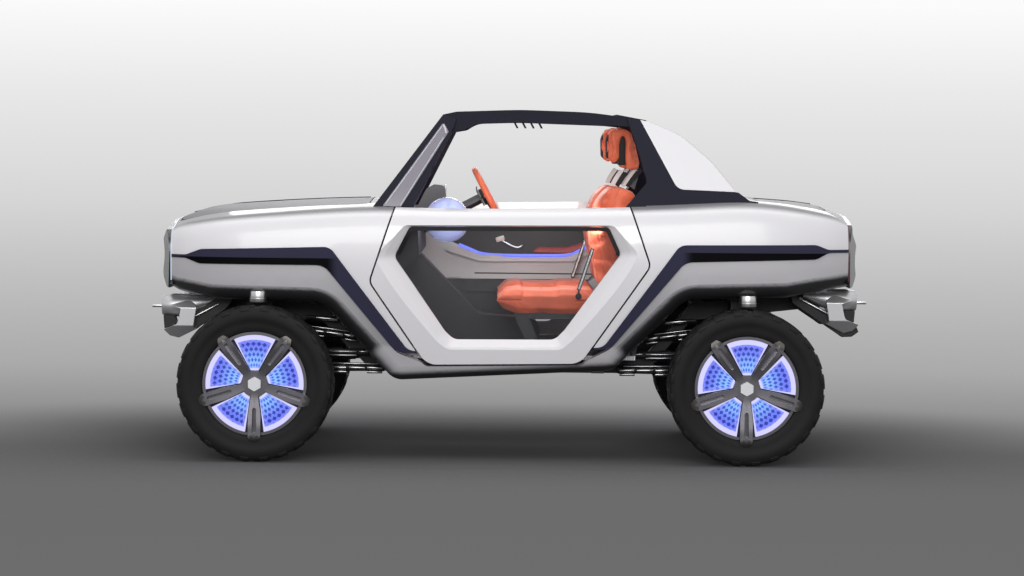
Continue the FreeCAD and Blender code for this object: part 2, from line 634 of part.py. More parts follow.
def knuckle():
    x = FRONT_AXLE_X
    block = box(x - 34, x + 34, 580, MOTOR_Y, AXLE_Z - KNUCKLE_HALF_Z, AXLE_Z + KNUCKLE_HALF_Z)
    pin_half = KNUCKLE_HALF_Z + EAR_GAP + 18
    pin = rod((x, KINGPIN_Y, AXLE_Z - pin_half), (x, KINGPIN_Y, AXLE_Z + pin_half), 10)
    return fuse([block, pin] + hub_parts(x))


def running_gear():
    for end in ENDS:
        pieces(f"{end}_suspension", suspension(end))
    for side in SIDES:
        pieces(f"knuckle_{side}", on_side(knuckle(), side))


# Wheels

def tyre():
    half = TYRE_W / 2
    return turned([(RIM_R, -84, 0), (300, -half, 40), (340, -half, 30), (TYRE_R, -84, 26), (TYRE_R, 84, 26), (342, half, 30),
                   (306, half, 30), (RIM_R, 84, 0)])


def spoke_outline():
    return [(40, -14, 0), (110, -24, 10), (150, -SPOKE_HALF, 20), (SPOKE_TIP_R - 22, -SPOKE_HALF, 10), (SPOKE_TIP_R, -15, 8),
            (SPOKE_TIP_R, 15, 8), (SPOKE_TIP_R - 22, SPOKE_HALF, 10), (150, SPOKE_HALF, 20), (110, 24, 10), (40, 14, 0)]


def wheel_plan(points, low, high):
    """An outline in the wheel's plane, first axis along the spoke, pushed outboard."""
    return prism([(u, -v, r) for u, v, r in points], low, high, "xz")


def rim():
    inner = RIM_R - BARREL_WALL
    barrel = turned([(inner, -84, 0), (RIM_R, -84, 0), (RIM_R, 84, 0), (inner, 84, 0)])
    plate = rod((0, 48, 0), (0, 60, 0), inner + 1)
    hub = rod((0, -18, 0), (0, 88, 0), HUB_R)
    bore = rod((0, -30, 0), (0, 56, 0), SPINDLE_R + SHAFT_CLEARANCE)
    envelope = turned([(0, 55, 0), (0, 90, 0), (60, 90, 0), (200, 105, 0), (258, 107, 0), (280, 101, 0), (280, 99, 0),
                       (244, 96, 0), (236, 55, 0)])
    spoke = wheel_plan(spoke_outline(), 50, 110).common(envelope)
    slot = wheel_plan([(112, -9, 8), (232, -11, 10), (232, 11, 10), (112, 9, 8)], 74, 120)
    spoke = spoke.cut(slot)
    spokes = [spoke.rotated(V(0, 0, 0), Y_AXIS, 90 + 360 / SPOKES * i) for i in range(SPOKES)]
    cap = prism([(34 * math.cos(math.radians(60 * i + 30)), 34 * math.sin(math.radians(60 * i + 30)), 3)
                 for i in range(6)], 80, 98)
    return fuse([barrel, plate, hub] + spokes + [cap]).cut(bore)


def light_sector(inner_r, outer_r, inner_half, outer_half, low, high):
    """One of the five lit panels, pointing along the first axis."""
    a = (inner_r, inner_half)
    reach = math.sqrt(outer_r ** 2 - outer_half ** 2)
    start = V(reach, low, -outer_half)
    end = V(reach, low, outer_half)
    arc = Part.Arc(start, V(outer_r, low, 0), end).toShape()
    inner_end = V(a[0], low, a[1])
    inner_start = V(a[0], low, -a[1])
    edges = [arc, Part.LineSegment(end, inner_end).toShape(), Part.LineSegment(inner_end, inner_start).toShape(),
             Part.LineSegment(inner_start, start).toShape()]
    return Part.Face(Part.Wire(edges)).extrude(V(0, high - low, 0))


def wheel_light():
    frame = light_sector(64, 229, 18, 96, 60, 86)
    pocket = light_sector(82, 206, 16, 70, 74, 90)
    panel = frame.cut(pocket)
    step = 360 / SPOKES
    return Part.makeCompound([panel.rotated(V(0, 0, 0), Y_AXIS, -90 + step * i) for i in range(SPOKES)])


def wheels():
    made = {"tyre": tyre(), "rim": rim(), "wheel_light": wheel_light()}
    for end, x in (("front", FRONT_AXLE_X), ("rear", REAR_AXLE_X)):
        for side, sign in SIDES.items():
            for name, shape in made.items():
                placed = on_side(shape.translated(V(x, WHEEL_Y, AXLE_Z)), side)
                pieces(f"{name}_{end}_{side}", placed)


def main():
    shells = nose_and_tail()
    lids()
    rails = side_rails()
    side_trims()
    doors()
    door_lining()
    end_faces()
    bumpers()
    greenhouse(shells)
    glazing()
    cabin()
    seats()
    steering_wheel()
    ladder_frame(rails)
    running_gear()
    wheels()


main()
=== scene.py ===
"""Looks of the open two-seat dune buggy: finishes for every fixed part, and the shaped pieces over some of them."""
import math
from contextlib import contextmanager

import bpy
from bpy.props import FloatProperty, FloatVectorProperty, PointerProperty
from mathutils import Matrix, Vector


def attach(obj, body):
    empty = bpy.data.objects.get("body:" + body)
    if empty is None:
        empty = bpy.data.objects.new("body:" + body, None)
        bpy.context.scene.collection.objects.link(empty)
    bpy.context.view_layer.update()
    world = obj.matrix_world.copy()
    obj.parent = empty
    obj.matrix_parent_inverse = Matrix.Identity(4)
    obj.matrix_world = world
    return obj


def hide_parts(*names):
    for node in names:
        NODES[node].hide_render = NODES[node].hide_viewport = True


bl_info = {
    "name": "Dune buggy looks",
    "version": (1, 0, 0),
    "blender": (4, 5, 0),
    "location": "3D View > Sidebar > Buggy",
    "description": "Finishes and shaped pieces of an open two-seat dune buggy",
    "category": "Object",
}

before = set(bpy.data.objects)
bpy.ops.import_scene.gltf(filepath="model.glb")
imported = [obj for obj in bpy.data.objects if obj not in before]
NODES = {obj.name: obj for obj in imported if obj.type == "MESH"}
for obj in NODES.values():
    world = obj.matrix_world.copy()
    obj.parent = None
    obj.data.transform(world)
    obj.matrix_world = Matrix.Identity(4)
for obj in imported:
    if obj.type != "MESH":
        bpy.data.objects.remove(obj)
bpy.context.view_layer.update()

SIDES = {"left": 1, "right": -1}
AXLES = {"front": 1.190, "rear": -1.115}
WHEELS = [(end, side) for end in AXLES for side in SIDES]
WHEEL_Y = 0.715
AXLE_Z = 0.368
SEAT_Y = 0.350


# Shader expressions

class Wire:
    """A shader value that Python's operators work on."""

    def __init__(self, tree, socket):
        self.tree = tree
        self.socket = socket

    def math(self, operation, *others):
        node = self.tree.nodes.new("ShaderNodeMath")
        node.operation = operation
        for i, value in enumerate((self, *others)):
            plug(self.tree, node.inputs[i], value)
        return Wire(self.tree, node.outputs[0])

    def __add__(self, other):
        return self.math("ADD", other)

    def __radd__(self, other):
        return self.math("ADD", other)

    def __sub__(self, other):
        return self.math("SUBTRACT", other)

    def __rsub__(self, other):
        return (self * -1.0).math("ADD", other)

    def __mul__(self, other):
        return self.math("MULTIPLY", other)

    def __gt__(self, other):
        return self.math("GREATER_THAN", other)

    def __abs__(self):
        return self.math("ABSOLUTE")

    def either(self, other):
        """The larger of two values."""
        return self.math("MAXIMUM", other)

    def repeated(self, length):
        """How far along its repeat a value is, from 0 to length."""
        return self.math("FLOORED_MODULO", length)

    def step(self, low, high):
        """0 at low, 1 at high, smooth between."""
        node = self.tree.nodes.new("ShaderNodeMapRange")
        node.interpolation_type = "SMOOTHSTEP"
        plug(self.tree, node.inputs["Value"], self)
        node.inputs["From Min"].default_value = low
        node.inputs["From Max"].default_value = high
        return Wire(self.tree, node.outputs["Result"])


def plug(tree, socket, value):
    """Sets a socket to a value, or links a wire to it."""
    if isinstance(value, Wire):
        tree.links.new(value.socket, socket)
    elif hasattr(socket.default_value, "__len__") and len(socket.default_value) == 4 and len(value) == 3:
        socket.default_value = (*value, 1.0)
    else:
        socket.default_value = value


class Finish:
    """A material in the making. node() adds any node, and surface() closes it."""

    def __init__(self, name):
        self.material = bpy.data.materials.new(name)
        self.material.use_nodes = True
        self.tree = self.material.node_tree
        self.tree.nodes.clear()
        self.place = self.node("ShaderNodeTexCoord", output="Object")

    def node(self, kind, settings=None, inputs=None, output=0):
        node = self.tree.nodes.new(kind)
        for key, value in (settings or {}).items():
            setattr(node, key, value)
        for key, value in (inputs or {}).items():
            plug(self.tree, node.inputs[key], value)
        return Wire(self.tree, node.outputs[output])

    def follow(self, attribute):
        """Patterns from here on lie on the piece's own attribute."""
        self.place = self.node("ShaderNodeAttribute", {"attribute_name": attribute}, output="Vector")
        return self

    def axes(self):
        """The place's x, y and z."""
        split = self.tree.nodes.new("ShaderNodeSeparateXYZ")
        plug(self.tree, split.inputs[0], self.place)
        return [Wire(self.tree, split.outputs[i]) for i in range(3)]

    def noise(self, scale, detail=2.0, stretch=None):
        place = self.place
        if stretch:
            place = self.node("ShaderNodeMapping", inputs={"Vector": place, "Scale": stretch})
        inputs = {"Vector": place, "Scale": scale, "Detail": detail}
        return self.node("ShaderNodeTexNoise", inputs=inputs, output="Fac")

    def cells(self, scale):
        return self.node("ShaderNodeTexVoronoi", inputs={"Vector": self.place, "Scale": scale}, output="Distance")

    def blend(self, share, low, high):
        """A colour between low and high."""
        node = self.tree.nodes.new("ShaderNodeMix")
        node.data_type = "RGBA"
        plug(self.tree, node.inputs["Factor"], share)
        plug(self.tree, node.inputs[6], low)
        plug(self.tree, node.inputs[7], high)
        return Wire(self.tree, node.outputs[2])

    def upward(self):
        """How far the surface faces up, from -1 to 1."""
        split = self.tree.nodes.new("ShaderNodeSeparateXYZ")
        plug(self.tree, split.inputs[0], self.node("ShaderNodeNewGeometry", output="Normal"))
        return Wire(self.tree, split.outputs[2])

    def bump(self, height, distance):
        inputs = {"Height": height, "Distance": distance, "Strength": 1.0}
        return self.node("ShaderNodeBump", inputs=inputs, output="Normal")

    def shader(self, **sockets):
        """The general surface shader; Base_Color stands for Base Color."""
        inputs = {key.replace("_", " "): value for key, value in sockets.items()}
        return self.node("ShaderNodeBsdfPrincipled", inputs=inputs)

    def surface(self, **sockets):
        """Closes the material with the general surface shader."""
        return self.closed(self.shader(**sockets))

    def closed(self, shader):
        out = self.tree.nodes.new("ShaderNodeOutputMaterial")
        self.tree.links.new(shader.socket, out.inputs["Surface"])
        return self.material


# Finishes

def shade_of(color, factor):
    return [min(1.0, c * factor) for c in color]


def brighter(color, factor, lift):
    return [min(1.0, c * factor + lift) for c in color]


def pearl(f):
    """Paint's fine grain, its faint dust, and the share of full colour that the two give."""
    grain = f.cells(900.0)
    dust = f.noise(3.0, 4.0)
    return grain, dust, grain * 0.35 + dust * 0.65


def paint(name, color, roughness=0.3, metallic=0.0, coat=0.8, shine=0.5):
    """Body paint with a pearl grain under a clear coat."""
    f = Finish(name)
    _, dust, share = pearl(f)
    return f.surface(Base_Color=f.blend(share, shade_of(color, 0.93), color), Roughness=roughness + dust * 0.06,
                     Metallic=metallic, Coat_Weight=coat, Coat_Roughness=0.06, Specular_IOR_Level=shine)


def paint_with_painted_top_shade(name, color, top_shade):
    """Body paint that turns silver grey where the surface faces up: painted shade for the dark reflection that
    up-facing surfaces show.
    """
    f = Finish(name)
    grain, dust, share = pearl(f)
    upward = f.upward().step(0.50, 0.93)
    tone = f.blend(upward, f.blend(share, shade_of(color, 0.93), color), f.blend(share, shade_of(top_shade, 0.9), top_shade))
    return f.surface(Base_Color=tone, Roughness=0.3 + dust * 0.06 + upward * 0.2, Coat_Weight=0.35,
                     Coat_Roughness=0.08, Normal=f.bump(grain, 0.00002))


def paint_with_painted_underside_shade(name, color, dark, **rest):
    """Paint turned to the dark colour where it faces down, and all of it close over the ground: painted shade under
    the body.
    """
    f = Finish(name)
    _, dust, share = pearl(f)
    _, _, z = f.axes()
    underside_shade = (f.upward() + z.step(0.56, 0.50) * 0.35).step(-0.38, -0.04)
    tone = f.blend(share, shade_of(color, 0.9), color)
    return f.surface(Base_Color=f.blend(underside_shade, dark, tone), Roughness=0.32 + dust * 0.06, **rest)


def plastic(name, color, roughness=0.5, grain=1500.0, coat=0.0, shine=0.3):
    """Moulded plastic with a fine grain."""
    f = Finish(name)
    pits = f.cells(grain)
    mottle = f.noise(6.0, 3.0)
    return f.surface(Base_Color=f.blend(mottle, color, brighter(color, 1.3, 0.003)),
                     Roughness=roughness + mottle * 0.12 - 0.06, Coat_Weight=coat, Coat_Roughness=0.12,
                     Specular_IOR_Level=shine, Normal=f.bump(pits, 0.00012))


def metal(name, color, roughness=0.3):
    """Metal brushed lengthways."""
    f = Finish(name)
    scratch = f.noise(180.0, 3.0, (1.0, 30.0, 30.0))
    smudge = f.noise(5.0, 4.0)
    return f.surface(Base_Color=f.blend(scratch, shade_of(color, 0.8), color), Metallic=1.0,
                     Roughness=roughness + smudge * 0.14 - 0.05, Normal=f.bump(scratch, 0.00005))


def hide_grain(f, color, pore_depth):
    """Hide's pores, creases and rubbed patches, and the tone that they give."""
    pores = f.cells(520.0)
    creases = f.noise(60.0, 4.0)
    rub = f.noise(7.0, 3.0)
    wear_and_painted_shadow = f.blend(rub.step(0.45, 0.75), shade_of(color, 0.86), brighter(color, 1.12, 0.01))
    return pores * 0.6 + creases * 0.5, rub, f.blend(pores.step(0.05, 0.35), shade_of(color, pore_depth), wear_and_painted_shadow)


def leather(name, color):
    """Plain hide."""
    f = Finish(name)
    height, rub, tone = hide_grain(f, color, 0.62)
    return f.surface(Base_Color=tone, Roughness=0.42 + rub * 0.14, Sheen_Weight=0.15, Coat_Weight=0.12,
                     Coat_Roughness=0.3, Normal=f.bump(height, 0.0006))


def glass(name, color, clearness):
    """Thin glazing that lets a share of what is behind it through."""
    f = Finish(name)
    smear = f.noise(4.0, 3.0)
    return f.surface(Base_Color=color, Roughness=0.02 + smear * 0.02, Alpha=1.0 - clearness,
                     Specular_IOR_Level=0.6, Coat_Weight=0.3)


def glow(name, color, strength, base=(0.02, 0.02, 0.03)):
    """A lit plastic light guide with faint bands along it."""
    f = Finish(name)
    bands = f.noise(40.0, 2.0)
    return f.surface(Base_Color=base, Roughness=0.3, Emission_Color=f.blend(bands, shade_of(color, 0.8), color),
                     Emission_Strength=strength)


def give(names, material):
    """Gives fixed parts a finish."""
    for name in names:
        data = NODES[name].data
        data.materials.clear()
        data.materials.append(material)


# Modelling helpers

def between(value, pairs):
    """Straight-line values between pairs of place and value, carried on past both ends."""
    for (low, at_low), (high, at_high) in zip(pairs, pairs[1:]):
        if value <= high or (high, at_high) == pairs[-1]:
            return at_low + (at_high - at_low) * (value - low) / (high - low)


def clear_selection():
    if bpy.context.object and bpy.context.object.mode != "OBJECT":
        bpy.ops.object.mode_set(mode="OBJECT")
    bpy.ops.object.select_all(action="DESELECT")


def only(piece):
    """Makes one object the selected and active one."""
    clear_selection()
    piece.select_set(True)
    bpy.context.view_layer.objects.active = piece
    return piece


@contextmanager
def editing(piece, kind="FACE"):
    """Edit mode on one object, picking vertices, edges or faces."""
    only(piece)
    bpy.ops.object.mode_set(mode="EDIT")
    bpy.ops.mesh.select_mode(type=kind)
    yield
    bpy.ops.object.mode_set(mode="OBJECT")


@contextmanager
def reshaping(piece, kind="FACE"):
    """Edit mode on all of one object."""
    with editing(piece, kind):
        bpy.ops.mesh.select_all(action="SELECT")
        yield


def pick_faces(piece, wanted):
    """Selects the faces whose middle and normal pass a test, ready for edit mode."""
    data = piece.data
    data.vertices.foreach_set("select", [False] * len(data.vertices))
    data.edges.foreach_set("select", [False] * len(data.edges))
    data.polygons.foreach_set("select", [bool(wanted(face.center, face.normal)) for face in data.polygons])


def pick_points(piece, first, second):
    """Selects two vertices by number, and the edge between them, ready for edit mode."""
    data = piece.data
    data.polygons.foreach_set("select", [False] * len(data.polygons))
    data.vertices.foreach_set("select", [point.index in (first, second) for point in data.vertices])
    data.edges.foreach_set("select", [set(edge.vertices) == {first, second} for edge in data.edges])


def primitive(kind, name, **settings):
    """Adds a mesh primitive on its own."""
    clear_selection()
    getattr(bpy.ops.mesh, f"primitive_{kind}_add")(**settings)
    piece = bpy.context.object
    piece.name = name
    return piece


def settled(piece):
    """Puts the object's place into its mesh."""
    only(piece)
    bpy.ops.object.transform_apply(location=True, rotation=True, scale=True)
    return piece


def applied(piece, kind, **settings):
    """Adds a modifier and applies it."""
    only(piece)
    modifier = piece.modifiers.new(kind.lower(), kind)
    for key, value in settings.items():
        setattr(modifier, key, value)
    bpy.ops.object.modifier_apply(modifier=modifier.name)
    return piece


def beveled(piece, width, segments=2):
    """Rounds the edges that turn by more than 30 degrees."""
    return applied(piece, "BEVEL", width=width, segments=segments, limit_method="ANGLE")


def smooth(piece, degrees=30.0):
    only(piece)
    bpy.ops.object.shade_smooth_by_angle(angle=math.radians(degrees))
    return piece


def outward(piece):
    """Merges doubles and turns all faces outward."""
    with reshaping(piece):
        bpy.ops.mesh.remove_doubles(threshold=0.00005)
        bpy.ops.mesh.normals_make_consistent(inside=False)
    return piece


def copied(node, name=None, degrees=30.0):
    """A merged copy of a fixed part's mesh."""
    clear_selection()
    piece = bpy.data.objects.new(name or f"{node}_dressed", NODES[node].data.copy())
    bpy.context.scene.collection.objects.link(piece)
    piece.data.materials.clear()
    with reshaping(piece):
        bpy.ops.mesh.remove_doubles(threshold=0.00002)
        bpy.ops.mesh.customdata_custom_splitnormals_clear()
    return smooth(piece, degrees)


def again(piece, name, shift=(0, 0, 0), flip=False):
    """A copy with its own mesh, moved, and mirrored across the car's middle where flip is set."""
    clear_selection()
    twin = bpy.data.objects.new(name, piece.data.copy())
    bpy.context.scene.collection.objects.link(twin)
    twin.matrix_world = Matrix.Translation(shift) @ Matrix.Diagonal((1, -1 if flip else 1, 1, 1))
    settled(twin)
    if flip:
        with reshaping(twin):
            bpy.ops.mesh.normals_make_consistent(inside=False)
    return twin


def on_surface(node, start, direction):
    """Where a ray from start meets a fixed part."""
    part = NODES[node]
    turn = part.matrix_world.inverted()
    hit, place, _, _ = part.ray_cast(turn @ start, (turn.to_3x3() @ direction).normalized())
    if not hit:
        raise RuntimeError(f"no surface of {node} from {start[:]} along {direction[:]}")
    return part.matrix_world @ place


def dressed(piece, body, material=None, replaced=()):
    """Gives a finished piece its body, and its material in a slot where it has one, and hides the fixed parts it
    stands for.
    """
    if material:
        piece.data.materials.clear()
        piece.data.materials.append(material)
    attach(piece, body)
    if replaced:
        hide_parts(*replaced)
    return piece


def parted(piece, materials, chosen):
    """Shares materials out over the faces by their middle and normal."""
    piece.data.materials.clear()
    for material in materials:
        piece.data.materials.append(material)
    for face in piece.data.polygons:
        face.material_index = chosen(face.center, face.normal)
    return piece


def lathed(name, outline, steps):
    """A ring round the Y axis through the origin, from a closed outline of (offset along Y, radius)."""
    piece = primitive("plane", name, size=0.01)
    y0, r0 = outline[0]
    with reshaping(piece, "VERT"):
        bpy.ops.mesh.merge(type="CENTER")
        bpy.ops.transform.translate(value=(0, y0, r0))
        for (y, r), (y_next, r_next) in zip(outline, outline[1:]):
            bpy.ops.mesh.extrude_region_move(TRANSFORM_OT_translate={"value": (0, y_next - y, r_next - r)})
        bpy.ops.mesh.select_all(action="SELECT")
    pick_points(piece, 0, len(piece.data.vertices) - 1)
    with editing(piece, "VERT"):
        bpy.ops.mesh.edge_face_add()
        bpy.ops.mesh.select_all(action="SELECT")
        bpy.ops.mesh.spin(steps=steps, angle=2 * math.pi, center=(0, 0, 0), axis=(0, 1, 0))
    return outward(piece)


def strip(name, pairs, thickness):
    """A ribbon through pairs of points, grown along its face from a plane, then given a thickness."""
    piece = primitive("plane", name, size=0.01)
    first, second = pairs[0], pairs[1]
    for vertex, place in zip(piece.data.vertices, (first[0], first[1], second[0], second[1])):
        vertex.co = place
    for pair in pairs[2:]:
        count = len(piece.data.vertices)
        pick_points(piece, count - 2, count - 1)
        with editing(piece, "EDGE"):
            bpy.ops.mesh.extrude_region_move(TRANSFORM_OT_translate={"value": (0, 0, 0)})
        a, b = piece.data.vertices[count], piece.data.vertices[count + 1]
        old_a = piece.data.vertices[count - 2].co
        if (a.co - old_a).length > 1e-7:
            a, b = b, a
        a.co, b.co = pair
    outward(piece)
    return applied(piece, "SOLIDIFY", thickness=thickness, offset=0.0)


def tube(name, points, radius, sides=12, loop=False):
    """A round bar through points, as a curve made into a mesh."""
    clear_selection()
    curve = bpy.data.curves.new(name, "CURVE")
    curve.dimensions = "3D"
    curve.bevel_depth = radius
    curve.bevel_resolution = max(1, sides // 4)
    curve.use_fill_caps = True
    spline = curve.splines.new("NURBS")
    spline.points.add(len(points) - 1)
    for point, place in zip(spline.points, points):
        point.co = (*place, 1.0)
    spline.order_u = 3
    spline.use_endpoint_u = not loop
    spline.use_cyclic_u = loop
    spline.resolution_u = 6
    piece = bpy.data.objects.new(name, curve)
    bpy.context.scene.collection.objects.link(piece)
    only(piece)
    bpy.ops.object.convert(target="MESH")
    return smooth(outward(bpy.context.object), 40.0)


def hoop(middle, radius, turn, lean):
    """Points round a circle that is turned about Y after it is leant about X."""
    steps = 24
    place = (Matrix.Translation(middle) @ Matrix.Rotation(math.radians(turn), 4, "Y")
             @ Matrix.Rotation(math.radians(lean), 4, "X"))
    radius /= math.cos(math.pi / steps) ** 0.5
    angles = [2 * math.pi * i / steps for i in range(steps)]
    return [place @ Vector((radius * math.cos(angle), radius * math.sin(angle), 0)) for angle in angles]


def slab(name, outline, y_low, y_high, rounding=0.003):
    """A plate between two places along Y, from its side outline in x and z."""
    piece = primitive("circle", name, radius=0.01, vertices=len(outline), fill_type="NGON")
    for vertex, (x, z) in zip(piece.data.vertices, outline):
        vertex.co = (x, y_low, z)
    with reshaping(piece):
        bpy.ops.mesh.extrude_region_move(TRANSFORM_OT_translate={"value": (0, y_high - y_low, 0)})
    outward(piece)
    return beveled(piece, rounding) if rounding else piece


def box(name, size):
    """A block round the origin, for the edits that follow."""
    piece = primitive("cube", name, size=1.0)
    with reshaping(piece):
        bpy.ops.transform.resize(value=size)
    return piece


def rod(name, start, end, radius, sides=24, rounding=0.0012):
    """A straight bar with rounded ends' edges."""
    start, end = Vector(start), Vector(end)
    piece = primitive("cylinder", name, radius=radius, depth=(end - start).length, vertices=sides)
    lean = (end - start).to_track_quat("Z", "Y").to_matrix().to_4x4()
    piece.matrix_world = Matrix.Translation((start + end) / 2) @ lean
    return smooth(beveled(settled(piece), rounding), 40)


def joined(name, pieces):
    """One object of several, each with its own materials."""
    only(pieces[0])
    for piece in pieces:
        piece.select_set(True)
    bpy.ops.object.join()
    pieces[0].name = name
    return pieces[0]


class SceneOperator:
    """What all the operators here share."""

    bl_options = {"REGISTER", "UNDO"}


# Sizes and colours that a user would change

class StageSettings(bpy.types.PropertyGroup):
    camera_height: FloatProperty(name="Camera height", description="Height of the lens over the ground",
                                 default=1.525, unit="LENGTH")
    camera_distance: FloatProperty(name="Camera distance", description="Lens to the car's middle plane",
                                   default=13.77, unit="LENGTH")
    floor_color: FloatVectorProperty(name="Floor", description="Colour of the floor near the car",
                                     default=(0.16, 0.16, 0.162), subtype="COLOR", size=3)
    floor_fade: FloatProperty(name="Floor fade", description="Distance from the car over which the floor ends",
                              default=1.9, unit="LENGTH")


class PaintSettings(bpy.types.PropertyGroup):
    body: FloatVectorProperty(name="Upper body", description="Pearl white of the shells and doors",
                              default=(0.80, 0.79, 0.81), subtype="COLOR", size=3)
    # The lid grey is painted shade: the dark reflection on the lids and the shells' up-facing surfaces, painted as
    # colour.
    lid_shade: FloatVectorProperty(name="Lids", description="Silver grey of the bonnet and the deck lid",
                              default=(0.20, 0.195, 0.205), subtype="COLOR", size=3)
    rails: FloatVectorProperty(name="Lower body", description="Silver of the side rails",
                               default=(0.56, 0.55, 0.57), subtype="COLOR", size=3)
    trim: FloatVectorProperty(name="Trim", description="Blue-black of the bands and the roof frame",
                              default=(0.014, 0.014, 0.026), subtype="COLOR", size=3)
    seats: FloatVectorProperty(name="Seats", description="Orange of the seat hide",
                               default=(0.86, 0.155, 0.062), subtype="COLOR", size=3)


class BUGGY_OT_stage(SceneOperator, bpy.types.Operator):
    """Floor, background, lamps and the camera of the photograph"""

    bl_idname = "buggy.stage"
    bl_label = "Stage"

    # Brightness of the background by the sine of its height over the horizon
    sky = ((-0.170, 110), (-0.138, 108), (-0.124, 108), (-0.110, 102), (-0.095, 148), (-0.081, 170), (-0.067, 180),
           (-0.052, 191), (-0.038, 202), (-0.024, 213), (-0.009, 221), (0.005, 227), (0.019, 234), (0.034, 243),
           (0.048, 251))

    # Lamps as name, place, target, width, height and watts
    lamps = (("overhead", (0.0, 0.8, 4.6), (0.0, 0.2, 0.0), 6.5, 4.2, 120.0),
             ("front_fill", (0.3, 8.5, 3.2), (0.0, 0.0, 0.8), 7.0, 2.4, 330.0),
             ("far_fill", (-0.5, -7.0, 3.6), (0.0, 0.0, 0.9), 6.0, 2.0, 160.0),
             ("cabin_fill", (0.02, 0.56, 1.135), (0.0, -0.62, 0.82), 0.9, 0.10, 5.0))

    def execute(self, context):
        settings = context.scene.buggy_stage
        self.floor(settings)
        self.world()
        for lamp in self.lamps:
            self.panel(*lamp)
        self.camera(settings)
        context.scene.view_settings.view_transform = "Standard"
        return {"FINISHED"}

    def floor(self, settings):
        """A round floor that thins out into the background away from the car, and keeps its shadow; under the car it
        is painted darker as painted shadow.
        """
        floor = primitive("circle", "studio_floor", radius=7.0, vertices=96, fill_type="NGON")
        f = Finish("studio_floor")
        x, y, _ = f.axes()
        y = y + 0.15
        along = (abs(x) - 1.45).either(0.0)
        across = (abs(y) - 0.45).either(0.0)
        away = (along * along + across * across).math("SQRT")
        stained = f.blend(f.noise(0.8, 4.0), shade_of(settings.floor_color, 0.96), settings.floor_color)
        # Painted shadow: the floor's colour is darkened in an oval under the car.
        flattened = x * 0.62
        wear_and_painted_shadow = (flattened * flattened + y * y).math("SQRT").step(2.35, 1.0)
        ground = f.shader(Base_Color=f.blend(wear_and_painted_shadow, stained, shade_of(settings.floor_color, 0.82)), Roughness=0.7,
                          Specular_IOR_Level=0.0, Normal=f.bump(f.noise(90.0, 4.0), 0.0006))
        clear = f.node("ShaderNodeBsdfTransparent")
        mixed = f.node("ShaderNodeMixShader", inputs={0: away.step(0.1, settings.floor_fade), 1: ground, 2: clear})
        floor.data.materials.append(f.closed(mixed))

    def world(self):
        """Studio light, behind it a background that is bright over the horizon and grey under it."""
        world = bpy.data.worlds.new("studio")
        bpy.context.scene.world = world
        world.use_nodes = True
        tree = world.node_tree
        tree.nodes.clear()
        place = tree.nodes.new("ShaderNodeTexCoord")
        split = tree.nodes.new("ShaderNodeSeparateXYZ")
        tree.links.new(place.outputs["Generated"], split.inputs[0])
        low, high = self.sky[0][0], self.sky[-1][0]
        share = (Wire(tree, split.outputs["Z"]) - low) * (1.0 / (high - low))
        ramp = tree.nodes.new("ShaderNodeValToRGB")
        plug(tree, ramp.inputs[0], share)
        stops = ramp.color_ramp.elements
        while len(stops) < len(self.sky):
            stops.new(0.5)
        for stop, (height, level) in zip(stops, self.sky):
            stop.position = (height - low) / (high - low)
            tone = ((level / 255 + 0.055) / 1.055) ** 2.4
            stop.color = (tone, tone, tone, 1.0)
        seen = tree.nodes.new("ShaderNodeBackground")
        tree.links.new(ramp.outputs[0], seen.inputs["Color"])
        lit = tree.nodes.new("ShaderNodeBackground")
        lit.inputs["Color"].default_value = (0.80, 0.79, 0.82, 1.0)
        lit.inputs["Strength"].default_value = 0.45
        path = tree.nodes.new("ShaderNodeLightPath")
        shown = Wire(tree, path.outputs["Is Camera Ray"])
        for kind in ("Is Glossy Ray", "Is Transmission Ray"):
            shown = shown.either(Wire(tree, path.outputs[kind]))
        mix = tree.nodes.new("ShaderNodeMixShader")
        plug(tree, mix.inputs[0], shown)
        tree.links.new(lit.outputs[0], mix.inputs[1])
        tree.links.new(seen.outputs[0], mix.inputs[2])
        out = tree.nodes.new("ShaderNodeOutputWorld")
        tree.links.new(mix.outputs[0], out.inputs["Surface"])

    def panel(self, name, place, target, width, height, watts):
        """One soft lamp, aimed at a target and itself unseen."""
        light = bpy.data.lights.new(name, "AREA")
        light.shape = "RECTANGLE"
        light.size = width
        light.size_y = height
        light.energy = watts
        lamp = bpy.data.objects.new(name, light)
        bpy.context.scene.collection.objects.link(lamp)
        lamp.location = place
        lamp.visible_camera = False
        lamp.rotation_euler = (Vector(target) - Vector(place)).to_track_quat("-Z", "Y").to_euler()

    def camera(self, settings):
        """The lens of the photograph: focal length, horizon row and middle column in the 1024-pixel frame."""
        focal_pixels = 2780.0
        frame_width = 1024.0
        horizon_above_middle = 149.0
        ahead_right_of_sideways = 11.0
        roll = 0.0105
        camera_x = 0.041
        data = bpy.data.cameras.new("camera")
        data.sensor_width = 36.0
        data.lens = focal_pixels / frame_width * data.sensor_width
        data.clip_end = 200.0
        camera = bpy.data.objects.new("camera", data)
        bpy.context.scene.collection.objects.link(camera)
        ahead = Vector((-ahead_right_of_sideways, -focal_pixels, -horizon_above_middle)).normalized()
        right = ahead.cross(Vector((0, 0, 1))).normalized()
        up = right.cross(ahead)
        right_rolled = right * math.cos(roll) + up * math.sin(roll)
        up_rolled = up * math.cos(roll) - right * math.sin(roll)
        turn = Matrix((right_rolled, up_rolled, -ahead)).transposed()
        place = (camera_x, settings.camera_distance, settings.camera_height)
        camera.matrix_world = Matrix.Translation(place) @ turn.to_4x4()
        bpy.context.scene.camera = camera


